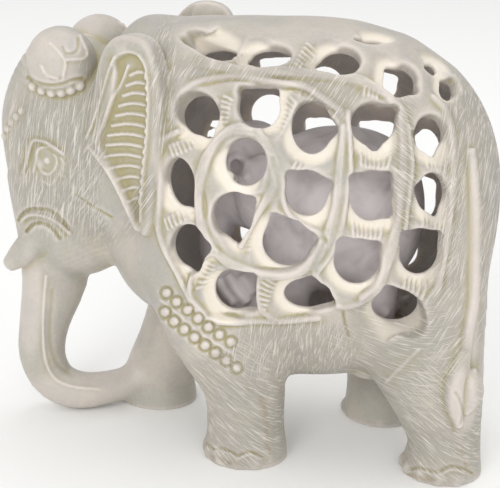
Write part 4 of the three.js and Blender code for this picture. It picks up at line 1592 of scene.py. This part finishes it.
@dataclass(frozen=True)
class Soapstone:
    """Soapstone, carved, scratched with a rasp and waxed: soft, pale and faintly see-through.

    The wax gives a soft broad shine. Rasp scratches show as fine whitish lines. Grooves and hollows
    take an olive tint, partly dirt and partly painted shade; ridges get a painted highlight; lips and
    some patches are painted paler, partly paler stone and partly painted light; rasped patches get
    painted shade; the hollow inside is painted lighter than the outer stone, as painted light.
    """

    cream: str = "#b5ada1"
    green: str = "#a19f93"
    grey: str = "#9b9793"
    # lilac: the grain's mottling, the painted highlight on ridges, and the paler patches that are partly
    # painted light
    lilac: str = "#e0d7d1"
    # olive: grooves and hollows, partly dirt held there and partly painted shade
    olive: str = "#a2986c"
    # calf and dove: the hollow's lavender, painted much lighter than the outer stone as painted light for the
    # shaded inside; dove clouds it
    calf: str = "#e2dbdc"
    dove: str = "#b9b0b2"
    rust: str = "#9a7a4c"
    # ivory: the lips, partly paler stone and partly painted light
    ivory: str = "#e9e0d2"
    scratch: str = "#f3eee6"
    shade: str = "#8b857a"
    roughness: float = 0.42
    rasped: float = 0.2        # what rasping adds to the roughness
    ior: float = 1.54
    vein_mm: float = 24.0      # size of the cloudy patches
    grain_mm: float = 0.8      # size of the fine mottling
    scratch_mm: float = 0.27   # from one scratch to the next
    scratch_run: float = 26.0  # length of a scratch, in steps of scratch_mm
    scratch_edge: float = 1 / 7   # noise from where a scratch starts to where it is full
    ring_middle: tuple[float, float] = (44.0, 66.0)   # what the thigh's scratches run round, in mm
    ring_level: float = 0.54   # noise level above which one of them shows
    ring_steps: float = 5.0    # steps of their noise to a radian
    rust_line: tuple[float, float] = (78, 0.66)       # direction and noise level of rusty lines
    patch_span: tuple[float, float] = (0.4, 0.6)      # noise levels that cream goes to green between
    spot_span: tuple[float, float] = (0.42, 0.68)     # and that grey spots come in between
    hollow_share: float = 0.9  # how far the hollow's colour, its lavender painted much lighter as painted light, covers the outer one
    dove_share: float = 0.7    # how strong the spots are there
    scratch_height: float = 0.8   # what a scratch and the grain add to the bumps
    grain_height: float = 0.25
    bump_mm: float = 0.3
    see_through: float = 0.3
    light_reach: tuple[float, float, float] = (1.0, 0.85, 0.6)   # of red, green and blue in the stone
    light_reach_mm: float = 3.0
    # Coats over the outer stone: what each shows in, its strength and its colour. The ridge coat is a painted
    # highlight; the groove and shelter coats are partly olive dirt and partly painted shade; the lip and pale
    # coats are partly paler stone and partly painted light.
    coats: tuple[tuple[str, float, str], ...] = (
        ("spots", 0.6, grey), ("grain", 0.3, lilac), ("ridge", 0.6, lilac), ("groove", 0.85, olive),
        ("shelter", 0.25, olive), ("lip", 0.85, ivory), ("pale", 0.3, lilac), ("crack", 1.0, rust))
    # Rasp marks over everything, in the same way; the rasped coat is painted shade that darkens the rasped
    # patches.
    rasping: tuple[tuple[str, float, str], ...] = (
        ("rusty", 0.35, rust), ("rasped", 0.36, shade), ("scratched", 0.52, scratch))
    # The scratches: the mark that they show in, their direction in side view, and the noise
    # level above which one shows.
    families: tuple[tuple[str, float, float], ...] = (
        ("upright", 84, 0.52), ("upright", 68, 0.56), ("rising", 58, 0.53), ("falling", -38, 0.53),
        ("falling", -24, 0.57))

    def streak(self, tree: bpy.types.NodeTree, place: bpy.types.NodeSocket, level: float,
               mark: bpy.types.NodeSocket) -> bpy.types.NodeSocket:
        """Draws scratches where noise is over a level.

        Args:
            tree: The node tree.
            place: Where the noise is read, in its own steps.
            level: The level.
            mark: Where they show.

        Returns:
            A socket: what the noise has over the level, by scratch_edge, up to 1, times the mark.
        """
        noise = add_node(tree, "ShaderNodeTexNoise", {"Scale": 1.0, "Detail": 2.0}, {"Vector": place})
        span = {"From Min": level, "From Max": level + self.scratch_edge}
        over = add_node(tree, "ShaderNodeMapRange", span, {0: noise.outputs[0]})
        return add_node(tree, "ShaderNodeMath", {"operation": "MULTIPLY"},
                        {0: over.outputs[0], 1: mark}).outputs[0]

    def lines(self, tree: bpy.types.NodeTree, place: bpy.types.NodeSocket, degrees: float,
              level: float, mark: bpy.types.NodeSocket) -> bpy.types.NodeSocket:
        """Draws straight scratches, from noise stretched along one direction of the side view.

        Args:
            tree: The node tree.
            place: Object coordinates.
            degrees: The scratches' direction, from level.
            level: The noise level above which a scratch shows.
            mark: Where they show.

        Returns:
            A socket that is up to 1 on a scratch and 0 between.
        """
        short = 1 / (self.scratch_mm * MM)
        long = short / self.scratch_run
        turned = add_node(tree, "ShaderNodeMapping", {"Rotation": (0, math.radians(degrees), 0)}, {0: place})
        scaled = add_node(tree, "ShaderNodeMapping", {"Scale": (long, long * 2, short)},
                          {0: turned.outputs[0]})
        return self.streak(tree, scaled.outputs[0], level, mark)

    def rings(self, tree: bpy.types.NodeTree, place: bpy.types.NodeSocket,
              mark: bpy.types.NodeSocket) -> bpy.types.NodeSocket:
        """Draws scratches that run round ring_middle in the side view.

        The noise is read at (distance from the point over scratch_mm, ring_steps times the angle
        round it), so that it is stretched round the point.

        Args:
            tree: The node tree.
            place: Object coordinates.
            mark: Where they show.

        Returns:
            A socket that is up to 1 on a scratch and 0 between.
        """
        middle = (self.ring_middle[0] * MM, 0, self.ring_middle[1] * MM)
        offset = add_node(tree, "ShaderNodeVectorMath", {"operation": "SUBTRACT", 1: middle}, {0: place})
        flat = add_node(tree, "ShaderNodeVectorMath", {"operation": "MULTIPLY", 1: (1, 0, 1)},
                        {0: offset.outputs[0]})
        reach = add_node(tree, "ShaderNodeVectorMath", {"operation": "LENGTH"}, {0: flat.outputs[0]})
        parts = add_node(tree, "ShaderNodeSeparateXYZ", None, {0: flat.outputs[0]})
        angle = add_node(tree, "ShaderNodeMath", {"operation": "ARCTAN2"},
                         {0: parts.outputs[2], 1: parts.outputs[0]})
        steps, turns = (
            add_node(tree, "ShaderNodeMath", {"operation": "MULTIPLY", 1: scale}, {0: value}).outputs[0]
            for value, scale in ((reach.outputs["Value"], 1 / (self.scratch_mm * MM)),
                                 (angle.outputs[0], self.ring_steps)))
        ring = add_node(tree, "ShaderNodeCombineXYZ", None, {0: steps, 1: turns})
        return self.streak(tree, ring.outputs[0], self.ring_level, mark)

    def lay(self, tree: bpy.types.NodeTree, under: bpy.types.NodeSocket,
            layers: tuple[tuple[str, float, str], ...], shows: dict) -> bpy.types.NodeSocket:
        """Lays thin coats of colour over one another.

        Args:
            tree: The node tree.
            under: The colour below them.
            layers: For each coat, the name of where it shows, its strength and its hex code.
            shows: The socket of each name.

        Returns:
            The colour on top.
        """
        for name, strength, tint in layers:
            part = add_node(tree, "ShaderNodeMath", {"operation": "MULTIPLY", 1: strength}, {0: shows[name]})
            under = add_node(tree, "ShaderNodeMix", {"data_type": "RGBA", 7: linear(tint)},
                             {0: part.outputs[0], 6: under}).outputs[2]
        return under

    def make(self) -> bpy.types.Material:
        """Builds the material: the stone, its wear with painted highlight and shade, the hollow inside
        painted lighter, then the rasp marks with painted shade.

        Returns:
            The material.
        """
        material = bpy.data.materials.new("carved_waxed_soapstone")
        material.use_nodes = True
        tree = material.node_tree
        tree.nodes.clear()
        place = add_node(tree, "ShaderNodeTexCoord").outputs["Object"]
        marks = {name: add_node(tree, "ShaderNodeAttribute", {"attribute_name": name}).outputs["Fac"]
                 for name in MARKS}
        cloud, grain, blotch = (
            add_node(tree, "ShaderNodeTexNoise", {"Scale": 1 / (size * MM), **rest},
                     {"Vector": place}).outputs[0]
            for size, rest in ((self.vein_mm, {"Detail": 5.0, "Roughness": 0.6}),
                               (self.grain_mm, {"Detail": 3.0}),
                               (self.vein_mm * 0.3, {"Detail": 4.0, "Distortion": 0.6})))
        patches, spots = (
            add_node(tree, "ShaderNodeMapRange", {"From Min": low, "From Max": high}, {0: noise}).outputs[0]
            for noise, (low, high) in ((cloud, self.patch_span), (blotch, self.spot_span)))
        crack, clouded, inside = (
            add_node(tree, "ShaderNodeMath", {"operation": "MULTIPLY", **rest}, links).outputs[0]
            for rest, links in (({}, {0: marks["crack"], 1: grain}), ({1: self.dove_share}, {0: spots}),
                                ({1: self.hollow_share}, {0: marks["inside"]})))
        # The hollow's colour: lavender painted much lighter than the outer stone, as painted light for the
        # shaded inside, clouded with dove
        stone, hollow = (
            add_node(tree, "ShaderNodeMix", {"data_type": "RGBA", 6: linear(one), 7: linear(other)},
                     {0: share}).outputs[2]
            for share, one, other in ((patches, self.cream, self.green), (clouded, self.calf, self.dove)))
        outer = self.lay(tree, stone, self.coats, {**marks, "spots": spots, "grain": grain, "crack": crack})
        colour = add_node(tree, "ShaderNodeMix", {"data_type": "RGBA"},
                          {0: inside, 6: outer, 7: hollow}).outputs[2]
        streaks = [self.lines(tree, place, degrees, level, marks[name])
                   for name, degrees, level in self.families]
        streaks.append(self.rings(tree, place, marks["rounding"]))
        scratched, rasped = (
            reduce(lambda one, other: add_node(
                tree, "ShaderNodeMath", {"operation": "MAXIMUM"}, {0: one, 1: other}).outputs[0], many)
            for many in (streaks, [marks[name] for name in SCRATCHES]))
        rusty = self.lines(tree, place, *self.rust_line, marks["falling"])
        # Rusty lines, painted shade over the rasped patches, then whitish scratches
        colour = self.lay(tree, colour, self.rasping,
                          {"rusty": rusty, "rasped": rasped, "scratched": scratched})
        rough = add_node(tree, "ShaderNodeMath",
                         {"operation": "MULTIPLY_ADD", 1: self.rasped, 2: self.roughness}, {0: rasped})
        mottled = add_node(tree, "ShaderNodeMath", {"operation": "MULTIPLY", 1: self.grain_height},
                           {0: grain})
        height = add_node(tree, "ShaderNodeMath", {"operation": "MULTIPLY_ADD", 1: self.scratch_height},
                          {0: scratched, 2: mottled.outputs[0]})
        bump = add_node(tree, "ShaderNodeBump", {"Strength": 0.5, "Distance": self.bump_mm * MM},
                        {"Height": height.outputs[0]})
        shader = add_node(tree, "ShaderNodeBsdfPrincipled", {
            "IOR": self.ior, "Subsurface Weight": self.see_through, "Subsurface Radius": self.light_reach,
            "Subsurface Scale": self.light_reach_mm * MM}, {
            "Base Color": colour, "Roughness": rough.outputs[0], "Normal": bump.outputs[0]})
        add_node(tree, "ShaderNodeOutputMaterial", None, {0: shader.outputs[0]})
        return material


@dataclass
class Studio:
    """The plain pale floor, the soft lights and the camera."""

    floor_half: float = 6.0
    floor_colour: str = "#fbfbfa"
    # Each light: its name, where it hangs from the target in m, its side in m and its power in W.
    lights: tuple[tuple[str, tuple[float, float, float], float, float], ...] = (
        ("key", (-0.3, -1.0, 0.6), 0.45, 3.9), ("fill", (0.3, -1.0, 0.28), 0.5, 2.2),
        ("top", (0.1, 0.3, 0.95), 0.8, 2.2))
    all_round: float = 0.76    # strength of the white light from all round

    def build(self, shift: np.ndarray) -> None:
        """Sets up the floor, lights and camera.

        Args:
            shift: From the maker's frame to the frame, in mm.
        """
        self.lay_floor()
        target = (np.array(VIEW.target) + shift) * MM
        for name, offset, size, power in self.lights:
            self.hang_light(name, target, offset, size, power)
        world = bpy.data.worlds.new("studio")
        world.use_nodes = True
        world.node_tree.nodes["Background"].inputs[0].default_value = (1, 1, 1, 1)
        world.node_tree.nodes["Background"].inputs[1].default_value = self.all_round
        bpy.context.scene.world = world
        bpy.context.scene.view_settings.view_transform = "Standard"
        self.set_camera(target)

    def lay_floor(self) -> None:
        """Lays the floor as one large pale plane."""
        half = self.floor_half
        mesh = bpy.data.meshes.new("floor")
        mesh.from_pydata([(-half, -half, 0), (half, -half, 0), (half, half, 0), (-half, half, 0)], [],
                         [(0, 1, 2, 3)])
        floor = bpy.data.objects.new("floor", mesh)
        bpy.context.scene.collection.objects.link(floor)
        material = bpy.data.materials.new("pale_paper")
        material.use_nodes = True
        shader = material.node_tree.nodes["Principled BSDF"]
        shader.inputs["Base Color"].default_value = linear(self.floor_colour)
        shader.inputs["Roughness"].default_value = 0.9
        mesh.materials.append(material)

    def hang_light(self, name: str, target: np.ndarray, offset: tuple[float, float, float],
                   size: float, power: float) -> None:
        """Hangs a square soft light that faces the target.

        Args:
            name: The light's name.
            target: What it faces, in m.
            offset: Where it hangs from there, in m.
            size: Its side in m.
            power: Its power in W.
        """
        data = bpy.data.lights.new(name, "AREA")
        data.shape, data.size, data.energy = "SQUARE", size, power
        light = bpy.data.objects.new(name, data)
        light.location = Vector(target) + Vector(offset)
        light.rotation_euler = (Vector(target) - light.location).to_track_quat("-Z", "Y").to_euler()
        bpy.context.scene.collection.objects.link(light)

    def set_camera(self, target: np.ndarray) -> None:
        """Puts the camera at the photograph's viewpoint.

        Args:
            target: What it faces, in m.
        """
        right, up, toward = VIEW.axes()
        data = bpy.data.cameras.new("camera")
        data.sensor_width = 36.0
        data.lens = VIEW.scale * VIEW.distance * data.sensor_width / VIEW.width
        data.clip_start = 0.01
        camera = bpy.data.objects.new("camera", data)
        rows = Matrix((right, up, toward)).transposed().to_4x4()
        rows.translation = Vector(target) + Vector(toward) * VIEW.distance * MM
        camera.matrix_world = rows
        bpy.context.scene.collection.objects.link(camera)
        bpy.context.scene.camera = camera


def line_up(obj: bpy.types.Object) -> np.ndarray:
    """Moves a mesh so that the middle of its box lies over the frame's.

    Args:
        obj: The carving, in the maker's frame.

    Returns:
        The move in mm.
    """
    mesh = obj.data
    places = np.empty(len(mesh.vertices) * 3, np.float32)
    mesh.vertices.foreach_get("co", places)
    places = places.reshape(-1, 3)
    low, high = (np.array(corner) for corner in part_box("elephant"))
    shift = (low + high) / 2 - (places.min(0) + places.max(0)) / 2
    shift[2] = low[2] - places[:, 2].min()
    mesh.vertices.foreach_set("co", (places + shift).astype(np.float32).ravel())
    mesh.update()
    return shift / MM


def build_elephant() -> np.ndarray:
    """Carves, finishes and mounts the elephant.

    Returns:
        The move from the maker's frame to the frame, in mm.
    """
    maker = Elephant()
    stone = maker.sculpt()
    vertices, faces = skin(stone)
    LOG.info("skin: %d vertices, %d faces", len(vertices), len(faces))
    obj = make_object("carved_elephant", vertices, faces)
    thin_out(obj, TRIANGLES)
    mark_surface(obj, stone, maker.barrel)
    shift = line_up(obj)
    obj.data.polygons.foreach_set("use_smooth", np.ones(len(obj.data.polygons), bool))
    obj.data.materials.clear()
    obj.data.materials.append(Soapstone().make())
    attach(obj, "root")
    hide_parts("elephant")
    LOG.info("carved_elephant: %d triangles, moved %s mm", len(obj.data.polygons), np.round(shift, 2))
    return shift


def main() -> None:
    """Builds the carving and the studio round it."""
    logging.basicConfig(level=logging.INFO, format="%(name)s: %(message)s")
    shift = build_elephant()
    Studio().build(shift)


if __name__ == "__main__":
    main()
